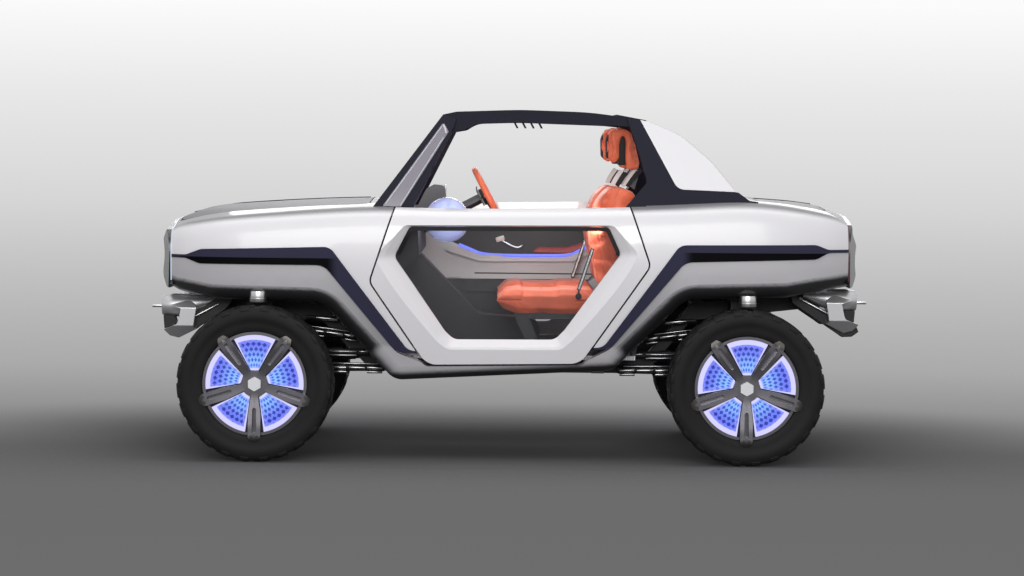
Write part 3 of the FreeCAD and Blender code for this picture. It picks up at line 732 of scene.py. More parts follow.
class BUGGY_OT_body(SceneOperator, bpy.types.Operator):
    """Paint, trim, lamps and glazing"""

    bl_idname = "buggy.body"
    bl_label = "Body"

    def execute(self, context):
        colors = context.scene.buggy_paint
        white = paint("pearl_white", colors.body)
        # The bonnet and the deck lid are painted grey all over as painted shade for the dark reflection on their
        # tops.
        lid_shade = paint("lid_painted_shade", colors.lid_shade, 0.55, coat=0.0, shine=0.2)
        # The side rails get painted shade in near-black on their downward faces and low parts.
        silver = paint_with_painted_underside_shade("silver_grey", colors.rails, (0.02, 0.02, 0.022), Metallic=0.2, Coat_Weight=0.5)
        trim = plastic("navy_trim", shade_of(colors.trim, 0.8), 0.55, shine=0.12)
        give(["door_left", "door_right", "quarter_panels"], white)
        # The shells' up-facing surfaces are painted in the lid grey as painted shade.
        give(["nose_shell", "tail_shell"], paint_with_painted_top_shade("pearl_white_painted_top_shade", colors.body, colors.lid_shade))
        give(["bonnet", "deck_lid"], lid_shade)
        give(["side_rails"], silver)
        give(["roof_frame"], trim)
        give(["side_trims"], self.trim_with_painted_facets(colors.trim))
        give(["pillar_blades"], paint("blade_grey", (0.16, 0.15, 0.18), 0.4, 0.3, 0.3))
        give(["front_face", "rear_face"], plastic("face_black", (0.012, 0.012, 0.016), 0.2, coat=0.6))
        give(["front_lamps"], glow("front_light", (0.65, 0.8, 1.0), 0.8))
        give(["rear_lamps"], glow("rear_light", (0.9, 0.03, 0.02), 0.06))
        give(["windscreen", "rear_window"], glass("clear_glass", (0.5, 0.53, 0.55), 0.88))
        give(["door_glass_left", "door_glass_right"], glass("tinted_glass", (0.10, 0.10, 0.11), 0.88))
        for side in SIDES:
            self.window_band(side)
        # The black tube along the crown of the bonnet and the deck lid is painted reflection, the dark line the crown
        # reflects; the same black rubber serves the door seals.
        seal_rubber_and_ridge_reflection = plastic("ridge_painted_reflection_and_seal_rubber", (0.010, 0.010, 0.011), 0.6)
        for node, places in (("bonnet", (1.560, 1.40, 1.22, 1.04, 0.86, 0.690)),
                             ("deck_lid", (-1.205, -1.30, -1.40, -1.485))):
            points = [on_surface(node, Vector((x, 0, 1.6)), Vector((0, 0, -1))) + Vector((0, 0, 0.0005))
                      for x in places]
            dressed(tube(f"{node}_ridge", points, 0.0042), node, seal_rubber_and_ridge_reflection)
        self.pillar_edges()
        self.door_seals(seal_rubber_and_ridge_reflection)
        return {"FINISHED"}

    def door_seals(self, seal_rubber_and_ridge_reflection):
        """The rubber lip behind each door's rear shut line."""
        line = ((-0.559, 1.196), (-0.601, 1.080), (-0.648, 0.942), (-0.560, 0.806), (-0.470, 0.668), (-0.400, 0.560))
        for side, sign in SIDES.items():
            pairs = [(Vector((x - 0.004, sign * 0.652, z)), Vector((x - 0.034, sign * 0.652, z - 0.004)))
                     for x, z in line]
            dressed(strip(f"door_seal_{side}", pairs, 0.006), "chassis", seal_rubber_and_ridge_reflection)

    def pillar_edges(self):
        """Bright lines down both edges of each pillar blade, the rear one hooked over its top."""
        bright = paint("blade_edge", (0.62, 0.62, 0.64), 0.3)
        lines = {"front": ((0.589, 1.214), (0.448, 1.412), (0.330, 1.580)),
                 "rear": ((0.520, 1.207), (0.419, 1.371), (0.321, 1.528)),
                 "hook": ((0.323, 1.589), (0.317, 1.579), (0.311, 1.564), (0.309, 1.548))}
        for side, sign in SIDES.items():
            for name, line in lines.items():
                points = [on_surface("pillar_blades", Vector((x, sign * 1.5, z)), Vector((0, -sign, 0)))
                          for x, z in line]
                dressed(tube(f"blade_{name}_{side}", points, 0.0055 if name == "hook" else 0.0022), "chassis", bright)

    def trim_with_painted_facets(self, color):
        """Trim with a lighter upper facet and a near-black lower one along its level stretches: painted highlight on
        the upper facet, painted shade on the lower one.
        """
        f = Finish("trim_with_painted_facets")
        x, _, z = f.axes()
        ridge = (x > 0.0) * -0.044 + 1.002
        level = abs(x).step(0.80, 0.86) * abs(x).step(1.60, 1.52)
        # Painted shade on the lower facet, painted highlight on the upper one.
        lower = (z - ridge).step(0.0015, -0.0015) * level
        grain = f.cells(1500.0)
        return f.surface(Base_Color=f.blend(lower, shade_of(color, 2.4), (0.001, 0.001, 0.002)),
                         Roughness=0.5 + grain * 0.05, Specular_IOR_Level=0.05, Normal=f.bump(grain, 0.0001))

    def window_band(self, side):
        """The black edge round the upper part of a door window, grown from the pane's own outer face."""
        sign = SIDES[side]
        band = copied(f"door_glass_{side}", f"window_band_{side}")
        with editing(band):
            bpy.ops.mesh.select_all(action="DESELECT")
        pick_faces(band, lambda middle, normal: normal.y * sign < 0.9)
        with editing(band):
            bpy.ops.mesh.delete(type="FACE")
            bpy.ops.mesh.select_all(action="SELECT")
            bpy.ops.mesh.dissolve_limited(angle_limit=math.radians(2))
            bpy.ops.mesh.inset(thickness=0.019, depth=0.0)
            bpy.ops.mesh.delete(type="FACE")
        pick_faces(band, lambda middle, normal: middle.z < 0.985)
        with editing(band):
            bpy.ops.mesh.delete(type="FACE")
        applied(band, "SOLIDIFY", thickness=0.005, offset=1.0)
        dressed(band, f"{side}_door", plastic(f"window_band_{side}", (0.012, 0.012, 0.014), 0.35))


class BUGGY_OT_cabin(SceneOperator, bpy.types.Operator):
    """Floor, dashboard, display ball, steering wheel and belts"""

    bl_idname = "buggy.cabin"
    bl_label = "Cabin"

    ball_centre = Vector((0.312, 0.0, 1.122))
    wheel_centre = Vector((0.114, -0.360, 1.242))
    wheel_tilt = math.radians(28)
    wheel_axis = Vector((-math.cos(wheel_tilt), 0.0, math.sin(wheel_tilt)))

    def execute(self, context):
        colors = context.scene.buggy_paint
        self.black = plastic("cabin_black", (0.015, 0.015, 0.017), 0.5)
        self.grey = plastic("pod_grey", (0.085, 0.085, 0.09), 0.4)
        self.silver = metal("cabin_silver", (0.72, 0.72, 0.74), 0.25)
        self.hide = leather("wheel_hide", colors.seats)
        give(["rear_bulkhead"], plastic("bulkhead_black", (0.02, 0.02, 0.022), 0.5, 900.0))
        give(["seat_frames"], metal("seat_frame_metal", (0.06, 0.06, 0.065), 0.35))
        self.tread_plate()
        self.dashboard()
        self.ball()
        self.steering()
        self.lining()
        self.belt_bars()
        return {"FINISHED"}

    def tread_plate(self):
        """Bright floor metal with raised bars that lean left and right by turns."""
        f = Finish("floor_metal")
        x, y, _ = f.axes()
        pitch = 0.034
        row = (x * (1 / pitch)).math("FLOOR")
        column = (y * (1 / pitch)).math("FLOOR")
        lean = (row + column).repeated(2.0) * 2.0 - 1.0
        u = x.repeated(pitch) - pitch / 2
        v = y.repeated(pitch) - pitch / 2
        along = (u + v * lean) * 0.7071
        across = (u - v * lean) * 0.7071
        bar = (abs(along) * (1 / 0.0125) + abs(across) * (1 / 0.0032)).step(1.15, 0.75)
        wear = f.noise(6.0, 4.0)
        tone = f.blend(bar, (0.30, 0.30, 0.31), (0.62, 0.62, 0.63))
        tone = f.blend(wear.step(0.35, 0.7), (0.30, 0.30, 0.30), tone)
        give(["floor_pan"], f.surface(Base_Color=tone, Metallic=0.8, Roughness=0.34 + wear * 0.14,
                                      Normal=f.bump(bar, 0.0015)))

    def dashboard(self):
        """The board in black, its instrument pod in grey with a silver bezel."""
        board = copied("dashboard", "dashboard_dressed")
        parted(board, [self.black, self.grey], lambda middle, normal: int(middle.y < -0.288 and middle.z > 1.168))
        dressed(board, "chassis", replaced=["dashboard"])
        bezel = tube("pod_bezel", hoop(Vector((0.329, -0.36, 1.243)), 0.045, 90, 0), 0.004, loop=True)
        dressed(bezel, "chassis", self.silver)

    def ball(self):
        """A see-through ball with a lit eye and rings floating in it."""
        f = Finish("orb_shell")
        haze = f.noise(9.0, 3.0)
        shell = f.surface(Base_Color=f.blend(haze, (0.36, 0.45, 0.85), (0.60, 0.66, 0.98)), Roughness=0.06,
                          Alpha=0.42 + haze * 0.2, Coat_Weight=1.0, Coat_Roughness=0.02,
                          Emission_Color=(0.22, 0.28, 0.62), Emission_Strength=0.35)
        ball = copied("orb_display", "orb_shell", 60.0)
        parted(ball, [shell, self.black], lambda middle, normal: int(middle.x > self.ball_centre.x + 0.105))
        dressed(ball, "chassis", replaced=["orb_display"])
        lens = [(-0.010, 0.002), (0.008, 0.002), (0.009, 0.022), (0.014, 0.028), (0.014, 0.033), (0.006, 0.039),
                (-0.008, 0.034)]
        eye = lathed("orb_eye", lens, 40)
        eye.matrix_world = Matrix.Translation((0.305, 0.05, 1.135)) @ Matrix.Diagonal((1.35, 1.0, 0.85, 1.0))
        lit = glow("orb_eye", (0.16, 0.50, 0.62), 0.9, (0.2, 0.4, 0.5))
        dressed(smooth(settled(eye), 40), "chassis", lit)
        for i, (size, tilt) in enumerate(((0.092, 18), (0.074, 62), (0.058, 100))):
            ring = tube(f"orb_ring_{i + 1}", hoop(self.ball_centre, size, tilt, 70), 0.0022, 8, loop=True)
            dressed(ring, "chassis", glow(f"orb_ring_{i + 1}", (0.55, 0.62, 1.0), 0.8))

    def steering(self):
        """Orange rim, black hub and spokes, and a grey paddle behind each side of the rim."""
        wheel = copied("steering_wheel", "steering_wheel_dressed", 40.0)

        def chosen(middle, normal):
            offset = middle - self.wheel_centre
            flat = offset - self.wheel_axis * offset.dot(self.wheel_axis)
            return int(flat.length < 0.118)

        parted(wheel, [self.hide, self.black], chosen)
        dressed(wheel, "steering_wheel", replaced=["steering_wheel"])
        for i, y in enumerate((-0.075, 0.075)):
            paddle = box(f"paddle_{i + 1}", (0.006, 0.024, 0.085))
            pick_faces(paddle, lambda middle, normal: normal.z > 0.9)
            with editing(paddle):
                bpy.ops.mesh.extrude_region_move(TRANSFORM_OT_translate={"value": (-0.008, 0, 0.02)})
                bpy.ops.transform.resize(value=(0.8, 0.7, 1.0))
            beveled(paddle, 0.0025, 3)
            behind = [self.wheel_centre - self.wheel_axis * depth + Vector((0, y * share, 0))
                      for depth, share in ((0.020, 0), (0.036, 0.5), (0.040, 1))]
            paddle.matrix_world = Matrix.Translation(behind[-1]) @ Matrix.Rotation(self.wheel_tilt, 4, "Y")
            dressed(smooth(settled(paddle)), "steering_wheel", self.grey)
            dressed(tube(f"paddle_arm_{i + 1}", behind, 0.005), "steering_wheel", self.black)

    def lining(self):
        """The far door's inside: black over the light strip, grey under it, darker at the pocket."""
        f = Finish("cabin_grey")
        x, _, z = f.axes()
        strip_height = (x - 0.145).either(0.0) * 0.42 + (x * -1.0 - 0.315).either(0.0) * 0.53 + 0.926
        mottle = f.noise(8.0, 3.0)
        grey = f.blend(mottle, (0.60, 0.595, 0.605), (0.67, 0.665, 0.675))
        ledge = abs(z - 0.829).step(0.0045, 0.0025) * x.step(0.183, 0.176)
        grey = f.blend(ledge, grey, (0.02, 0.015, 0.015))
        toe = (x - 0.335 - (0.745 - z) * 0.4).step(-0.004, 0.004) * z.step(0.747, 0.743)
        low = f.blend(toe, (0.035, 0.035, 0.038), (0.30, 0.295, 0.30))
        grey = f.blend(z.step(0.803, 0.797), grey, low)
        tone = f.blend((z - strip_height).step(-0.002, 0.002), grey, (0.010, 0.008, 0.008))
        give(["door_lining_right"], f.surface(Base_Color=tone, Roughness=0.48 + mottle * 0.1,
                                              Normal=f.bump(f.cells(1300.0), 0.00012)))
        path = [(0.262, 0.976), (0.205, 0.954), (0.145, 0.926), (0.0, 0.923), (-0.16, 0.924), (-0.315, 0.926),
                (-0.36, 0.949), (-0.433, 0.988)]

        def inside(px, pz):
            return on_surface("door_lining_right", Vector((px, -0.30, pz)), Vector((0, -1, 0)))

        centre = [inside(px, pz) + Vector((0, 0.003, 0)) for px, pz in path]
        light = tube("door_light", centre, 0.0085, 12)
        dressed(light, "right_door", glow("door_light", (0.16, 0.20, 1.0), 1.6))
        pad_path = [(-0.118, 0.940), (-0.150, 0.966), (-0.30, 0.969), (-0.345, 0.982), (-0.425, 1.008),
                    (-0.425, 0.996), (-0.352, 0.957), (-0.312, 0.938)]
        self.pad(pad_path, inside)
        self.door_pull(inside)

    def pad(self, outline, inside):
        """A padded armrest panel over the light strip."""
        pad = primitive("circle", "armrest_pad", radius=0.01, vertices=len(outline), fill_type="NGON")
        for vertex, (px, pz) in zip(pad.data.vertices, outline):
            vertex.co = inside(px, pz) - Vector((0, 0.004, 0))
        with reshaping(pad):
            bpy.ops.mesh.extrude_region_move(TRANSFORM_OT_translate={"value": (0, 0.020, 0)})
            bpy.ops.mesh.inset(thickness=0.005, depth=0.004)
        outward(pad)
        beveled(pad, 0.004, 4)
        dressed(smooth(pad, 50), "right_door", leather("armrest_hide", (0.42, 0.045, 0.03)))

    def door_pull(self, inside):
        """A bent silver pull with a pale grip."""
        points = [(0.052, 1.006), (0.030, 0.996), (-0.010, 0.972), (-0.045, 0.962), (-0.070, 0.975)]
        path = [inside(px, pz) + Vector((0, 0.020, 0)) for px, pz in points]
        path = [inside(*points[0]) - Vector((0, 0.004, 0))] + path + [inside(*points[-1]) - Vector((0, 0.004, 0))]
        dressed(tube("door_pull", path, 0.0055), "right_door", self.silver)
        grip = box("door_grip", (0.046, 0.016, 0.026))
        beveled(grip, 0.006, 3)
        place = inside(0.048, 1.008) + Vector((0, 0.022, 0))
        grip.matrix_world = Matrix.Translation(place) @ Matrix.Rotation(0.3, 4, "Y")
        dressed(smooth(settled(grip)), "right_door", plastic("door_grip", (0.62, 0.60, 0.58), 0.35))

    def belt_bars(self):
        """An upright bar at the outer side of each seat, black with a bright inlay, on a pivot."""
        low = Vector((-0.327, 0.598, 0.812))
        high = Vector((-0.392, 0.598, 1.010))
        for side, sign in SIDES.items():
            lean = (high - low).to_track_quat("Z", "X").to_matrix().to_4x4()
            bar = box(f"belt_bar_{side}", (0.018, 0.012, (high - low).length))
            pick_faces(bar, lambda middle, normal: abs(normal.y) > 0.9)
            with editing(bar):
                bpy.ops.mesh.inset(thickness=0.0045, depth=-0.002, use_individual=True)
            parted(bar, [self.black, self.silver],
                   lambda middle, normal: int(abs(middle.y) < 0.0045 and abs(normal.y) > 0.9))
            beveled(bar, 0.0012)
            bar.matrix_world = Matrix.Diagonal((1, sign, 1, 1)) @ Matrix.Translation((high + low) / 2) @ lean
            settled(bar)
            dressed(outward(bar), "chassis")
            pivot = primitive("cylinder", f"belt_pivot_{side}", radius=0.015, depth=0.016, vertices=40)
            pivot.matrix_world = (Matrix.Translation((low.x, sign * 0.594, low.z - 0.030))
                                  @ Matrix.Rotation(math.pi / 2, 4, "X"))
            beveled(settled(pivot), 0.003, 3)
            dressed(smooth(pivot), "chassis", self.black)
            foot = tube(f"belt_foot_{side}", [Vector((low.x, sign * 0.597, low.z - 0.030)),
                                             Vector((low.x - 0.001, sign * 0.597, low.z + 0.006))], 0.005)
            dressed(foot, "chassis", self.black)


class BUGGY_OT_seats(SceneOperator, bpy.types.Operator):
    """Padded seats blown up from the fixed parts' forms, with seams, head slots and belts"""

    bl_idname = "buggy.seats"
    bl_label = "Seats"

    seam_half = 0.150
    # Front line of the seat back as height and place
    front = ((0.770, -0.436), (0.880, -0.428), (1.000, -0.400), (1.072, -0.388), (1.160, -0.398), (1.236, -0.424),
             (1.318, -0.462))
    # Belts over the seat back as the lower and upper end of each
    belts = (((-0.491, 1.306), (-0.534, 1.380)), ((-0.541, 1.304), (-0.606, 1.398)))

    def execute(self, context):
        hide = self.hide(context.scene.buggy_paint.seats)
        black = plastic("seat_black", (0.014, 0.013, 0.014), 0.7, 700.0)
        cushion = self.pad("seat_cushions", 0.0085, (0.97, 0.95, 0.86), 0.022, self.cushion_seam)
        back = self.pad("seat_backs", 0.0085, (0.93, 0.95, 0.97), 0.022, self.back_seam)
        head = self.pad("headrests", 0.0065, (0.93, 0.93, 0.97), 0.010, self.head_seam)
        front_edge = max(point.co.x for point in head.data.vertices) - 0.010
        parted(cushion, [hide], lambda middle, normal: 0)
        parted(back, [hide], lambda middle, normal: 0)
        parted(head, [hide, black], lambda middle, normal: int(middle.x > front_edge and normal.x > 0.5))
        for node, piece in (("seat_cushions", cushion), ("seat_backs", back), ("headrests", head)):
            twin = again(piece, f"{node}_right", flip=True)
            piece.name = f"{node}_left"
            for pad in (piece, twin):
                dressed(pad, "chassis", replaced=[node])
        self.slots(black)
        self.straps()
        return {"FINISHED"}

    def hide(self, color):
        """Orange hide with pores, rubbed patches and a line of stitches on each side of the long seams."""
        f = Finish("seat_hide")
        x, y, z = f.axes()
        height, rub, tone = hide_grain(f, color, 0.66)
        from_seam = abs(abs(abs(y) - SEAT_Y) - self.seam_half)
        thread = abs(from_seam - 0.008).step(0.0013, 0.0007) * (x - z).repeated(0.009).step(0.0062, 0.0054)
        return f.surface(Base_Color=f.blend(thread, tone, (0.85, 0.42, 0.25)), Roughness=0.44 + rub * 0.14,
                         Sheen_Weight=0.15, Coat_Weight=0.1, Coat_Roughness=0.3,
                         Normal=f.bump(height + thread * 0.8, 0.0007))

    def cushion_seam(self, place):
        side = abs(place.y - SEAT_Y)
        if side > 0.205:
            return abs(place.z - 0.758)
        across = abs((place.x + 0.02) % 0.086 - 0.043) if side < self.seam_half and place.z > 0.76 else 1.0
        return min(abs(side - self.seam_half), across)

    def back_seam(self, place):
        side = abs(place.y - SEAT_Y)
        behind = self.front_at(place.z) - place.x
        if side > 0.200:
            return min(abs(behind - 0.030), abs(behind - 0.070))
        across = abs(place.z % 0.096 - 0.048) if side < self.seam_half and behind < 0.06 else 1.0
        return min(abs(side - self.seam_half), across)

    def head_seam(self, place):
        return min(abs(abs(place.y - SEAT_Y) - 0.085), abs(place.x + 0.482) if place.z < 1.56 else 1.0)

    def front_at(self, height):
        """The seat back's front line at a height."""
        return between(height, self.front)

    def pad(self, node, voxel, start, cap, seam_distance):
        """The left one of a pair of pads: drawn in, remeshed, blown up as cloth, and sewn."""
        pad = copied(node, node + "_left", 60.0)
        pick_faces(pad, lambda middle, normal: middle.y < 0)
        with editing(pad):
            bpy.ops.mesh.delete(type="FACE")
        low = Vector([min(point.co[i] for point in pad.data.vertices) for i in range(3)])
        high = Vector([max(point.co[i] for point in pad.data.vertices) for i in range(3)])
        middle = (low + high) / 2
        applied(pad, "REMESH", mode="VOXEL", voxel_size=voxel, use_smooth_shade=True)
        for point in pad.data.vertices:
            point.co = middle + (point.co - middle) * Vector(start)
            point.co = self.shaped(node, point.co)
        applied(pad, "SMOOTH", factor=0.5, iterations=4)
        self.blown(pad, cap)
        applied(pad, "SUBSURF", levels=1, render_levels=1)
        groove = 0.0045
        places = [point.co - point.normal * groove * math.exp(-(seam_distance(point.co) / groove) ** 2)
                  for point in pad.data.vertices]
        for point, place in zip(pad.data.vertices, places):
            point.co = place
        pad.data.polygons.foreach_set("use_smooth", [True] * len(pad.data.polygons))
        return pad

    def shaped(self, node, place):
        """Brings a point of the plain form to the photograph's outline."""
        x, y, z = place
        if node == "seat_cushions":
            return Vector((x, y, between(z, ((0.696, 0.708), (0.842, 0.797)))))
        if node == "headrests":
            lobes = ((-0.628, -0.621), (-0.576, -0.551), (-0.548, -0.519), (-0.478, -0.460))
            return Vector((between(x, lobes), y, z))
        front = between(z, ((0.800, -0.411), (1.230, -0.455), (1.318, -0.470)))
        rear = between(z, ((0.800, -0.545), (1.100, -0.640), (1.305, -0.590)))
        forward = max(0.0, min(1.0, (x - rear) / (front - rear)))
        return Vector((x + forward * (self.front_at(z) - front), y, z - max(0.0, 0.900 - z) * 0.25))

    def blown(self, pad, cap):
        """Pressure from inside, with each point held within cap of where it started."""
        start = [point.co.copy() for point in pad.data.vertices]
        only(pad)
        cloth = pad.modifiers.new("cloth", "CLOTH")
        cloth.settings.use_pressure = True
        cloth.settings.uniform_pressure_force = 4.0
        cloth.settings.effector_weights.gravity = 0.0
        cloth.collision_settings.use_collision = False
        cloth.point_cache.frame_start = 1
        cloth.point_cache.frame_end = 20
        for step in range(1, 21):
            bpy.context.scene.frame_set(step)
        bpy.ops.object.modifier_apply(modifier="cloth")
        bpy.context.scene.frame_set(1)
        for point, place in zip(pad.data.vertices, start):
            shift = point.co - place
            if shift.length > cap:
                point.co = place + shift * (cap / shift.length)

    def slots(self, black):
        """A black block in each headrest's slot: painted shade in the slot."""
        slot_shade_block = box("head_slot_shade_left", (0.030, 0.206, 0.100))
        with reshaping(slot_shade_block):
            bpy.ops.transform.translate(value=(-0.532, SEAT_Y, 1.455))
        pick_faces(slot_shade_block, lambda middle, normal: normal.z > 0.9)
        with editing(slot_shade_block):
            bpy.ops.mesh.extrude_region_move(TRANSFORM_OT_translate={"value": (-0.002, 0, 0.038)})
            bpy.ops.transform.resize(value=(0.45, 1.0, 1.0))
        beveled(slot_shade_block, 0.004, 3)
        smooth(outward(slot_shade_block), 50)
        for piece in (slot_shade_block, again(slot_shade_block, "head_slot_shade_right", flip=True)):
            dressed(piece, "chassis", black)

    def straps(self):
        """Pale belts from the top of each seat back up to its headrest, with dark webbing between."""
        pale = self.webbing("belt_pale", (0.90, 0.86, 0.84))
        dark = self.webbing("belt_dark", (0.012, 0.012, 0.013))
        for side, sign in SIDES.items():
            for i, (low, high) in enumerate(self.belts):
                for j, offset in enumerate((-0.078, 0.078)):
                    y = sign * (SEAT_Y + offset)
                    self.belt(f"belt_{i}{j}_{side}", low, high, y, 0.0075, pale)
                    self.belt(f"belt_back_{i}{j}_{side}", (low[0] - 0.020, low[1]),
                              (high[0] - 0.022, high[1] - 0.012), y - sign * 0.006, 0.010, dark)

    def belt(self, name, low, high, y, half, material):
        """A flat belt that bows a little between two points."""
        start, end = Vector((low[0], y, low[1])), Vector((high[0], y, high[1]))
        along = (end - start).normalized()
        across = Vector((along.z, 0, -along.x)) * half
        pairs = []
        for k in range(7):
            share = k / 6
            middle = start.lerp(end, share) + Vector((0.004, 0, -0.002)) * math.sin(math.pi * share)
            pairs.append((middle - across, middle + across))
        dressed(strip(name, pairs, 0.003), "chassis", material)

    def webbing(self, name, color):
        """Woven belt with ribs along and across."""
        f = Finish(name)
        x, _, z = f.axes()
        along = (x * 0.55 - z * 0.83).repeated(0.0022) * (1 / 0.0022)
        across = (x * 0.83 + z * 0.55).repeated(0.0016) * (1 / 0.0016)
        weave = abs(along - 0.5) * abs(across - 0.5) * 4.0
        return f.surface(Base_Color=f.blend(weave, shade_of(color, 0.75), color), Roughness=0.75, Sheen_Weight=0.2,
                         Normal=f.bump(weave, 0.0004))


class BUGGY_OT_bumpers(SceneOperator, bpy.types.Operator):
    """Bumpers with bullet pods, faceted clasps, skid arms, braces and tow rods"""

    bl_idname = "buggy.bumpers"
    bl_label = "Bumpers"

    pod_y = 0.470
    height = {"front": 0.714, "rear": 0.768}
    tow_height = {"front": 0.710, "rear": 0.758}
    # Stations of the pod as x, rise of its centre and radius
    stations = ((1.660, 0, 0.045), (1.652, 0, 0.050), (1.606, 0, 0.056), (1.544, 0.002, 0.053), (1.470, 0.013, 0.034),
                (1.408, 0.023, 0.013))
    clasp = ((1.617, 0.005), (1.536, 0.026), (1.520, 0.022), (1.490, 0.002), (1.506, -0.100), (1.492, -0.110),
             (1.579, -0.154), (1.621, -0.143), (1.649, -0.112), (1.586, -0.087), (1.578, -0.070), (1.567, -0.014))
    core = ((1.652, -0.046), (1.600, -0.046), (1.590, -0.090), (1.647, -0.110))
    beam = ((1.500, -0.026), (1.560, -0.036), (1.600, -0.022), (1.600, 0.032), (1.560, 0.044), (1.500, 0.034))
    arms = {"front": ((1.130, 0.816), (1.130, 0.786), (1.318, 0.786), (1.325, 0.739), (1.353, 0.700), (1.500, 0.600),
                      (1.585, 0.566), (1.600, 0.600), (1.500, 0.690), (1.370, 0.770), (1.350, 0.816)),
            "rear": ((1.055, 0.816), (1.055, 0.786), (1.346, 0.786), (1.353, 0.755), (1.427, 0.704), (1.565, 0.613),
                     (1.592, 0.594), (1.640, 0.596), (1.673, 0.620), (1.664, 0.642), (1.534, 0.702), (1.378, 0.786),
                     (1.360, 0.816))}

    def execute(self, context):
        silver = paint("bumper_silver", (0.52, 0.52, 0.53), 0.36, 0.75, 0.2)
        shade = plastic("bumper_black", (0.010, 0.010, 0.011), 0.4)
        bright = metal("tow_metal", (0.6, 0.6, 0.61), 0.25)
        for end, sign in (("front", 1), ("rear", -1)):
            z = self.height[end]
            parts = []
            for side, mirror in SIDES.items():
                tow_z = self.tow_height[end]
                core = self.upright("core", [(sign * x, z + h) for x, h in self.core], mirror, -0.044, 0.044)
                tow = rod("tow", (sign * 1.640, mirror * self.pod_y, tow_z),
                          (sign * 1.7095, mirror * self.pod_y, tow_z), 0.007)
                brace = rod("brace", (sign * 1.388, mirror * (self.pod_y + 0.026), z + 0.010),
                            (sign * 1.530, mirror * (self.pod_y + 0.044), z - 0.066), 0.006)
                pieces = ((self.pod(sign, mirror, z), silver), (self.clasp_piece(end, sign, mirror, z), silver),
                          (core, shade), (tow, bright), (brace, bright))
                for piece, material in pieces:
                    piece.data.materials.append(material)
                    parts.append(piece)
                outline = [(sign * x, h) for x, h in self.arms[end]]
                arm = self.upright(f"skid_arm_{end}_{side}", outline, mirror, -0.034, 0.026)
                dressed(arm, "chassis", shade)
            reach = self.pod_y - 0.040
            beam = slab("beam", [(sign * x, z + h) for x, h in self.beam], -reach, reach, 0.010)
            beam.data.materials.append(silver)
            bumper = joined(f"{end}_bumper_dressed", [beam] + parts)
            dressed(bumper, "chassis", replaced=[f"{end}_bumper"])
        return {"FINISHED"}

    def upright(self, name, outline, mirror, inner, outer, rounding=0.003):
        """A plate standing along the car, from inner to outer of the pod's middle."""
        low, high = sorted((mirror * (self.pod_y + inner), mirror * (self.pod_y + outer)))
        return slab(name, outline, low, high, rounding)

    def pod(self, sign, mirror, z):
        """A bullet grown station by station from its blunt end."""
        x, _, radius = self.stations[0]
        pod = primitive("circle", "pod", radius=radius, vertices=40, fill_type="NGON", rotation=(0, math.pi / 2, 0),
                        location=(sign * x, mirror * self.pod_y, z))
        settled(pod)
        with reshaping(pod):
            for before, after in zip(self.stations, self.stations[1:]):
                step = (sign * (after[0] - before[0]), 0, after[1] - before[1])
                bpy.ops.mesh.extrude_region_move(TRANSFORM_OT_translate={"value": step})
                bpy.ops.transform.resize(value=(1, after[2] / before[2], after[2] / before[2]))
        return smooth(outward(pod), 35)

    def clasp_piece(self, end, sign, mirror, z):
        """A hooked clasp with its outer corners cut to facets."""
        shift = 0.020 if end == "rear" else 0.0
        outline = [(sign * (x + shift), z + h) for x, h in self.clasp]
        piece = self.upright("clasp", outline, mirror, -0.060, 0.076, 0.0)
        for (y0, z0), (y1, z1) in (((0.046, 0.032), (0.076, -0.008)), ((0.076, -0.094), (0.034, -0.156))):
            out = Vector((0, mirror * (z0 - z1), y1 - y0)).normalized()
            with reshaping(piece):
                bpy.ops.mesh.bisect(plane_co=(0, mirror * (self.pod_y + y0), z + z0), plane_no=out, use_fill=True,
                                    clear_outer=True)
        return beveled(outward(piece), 0.0025)


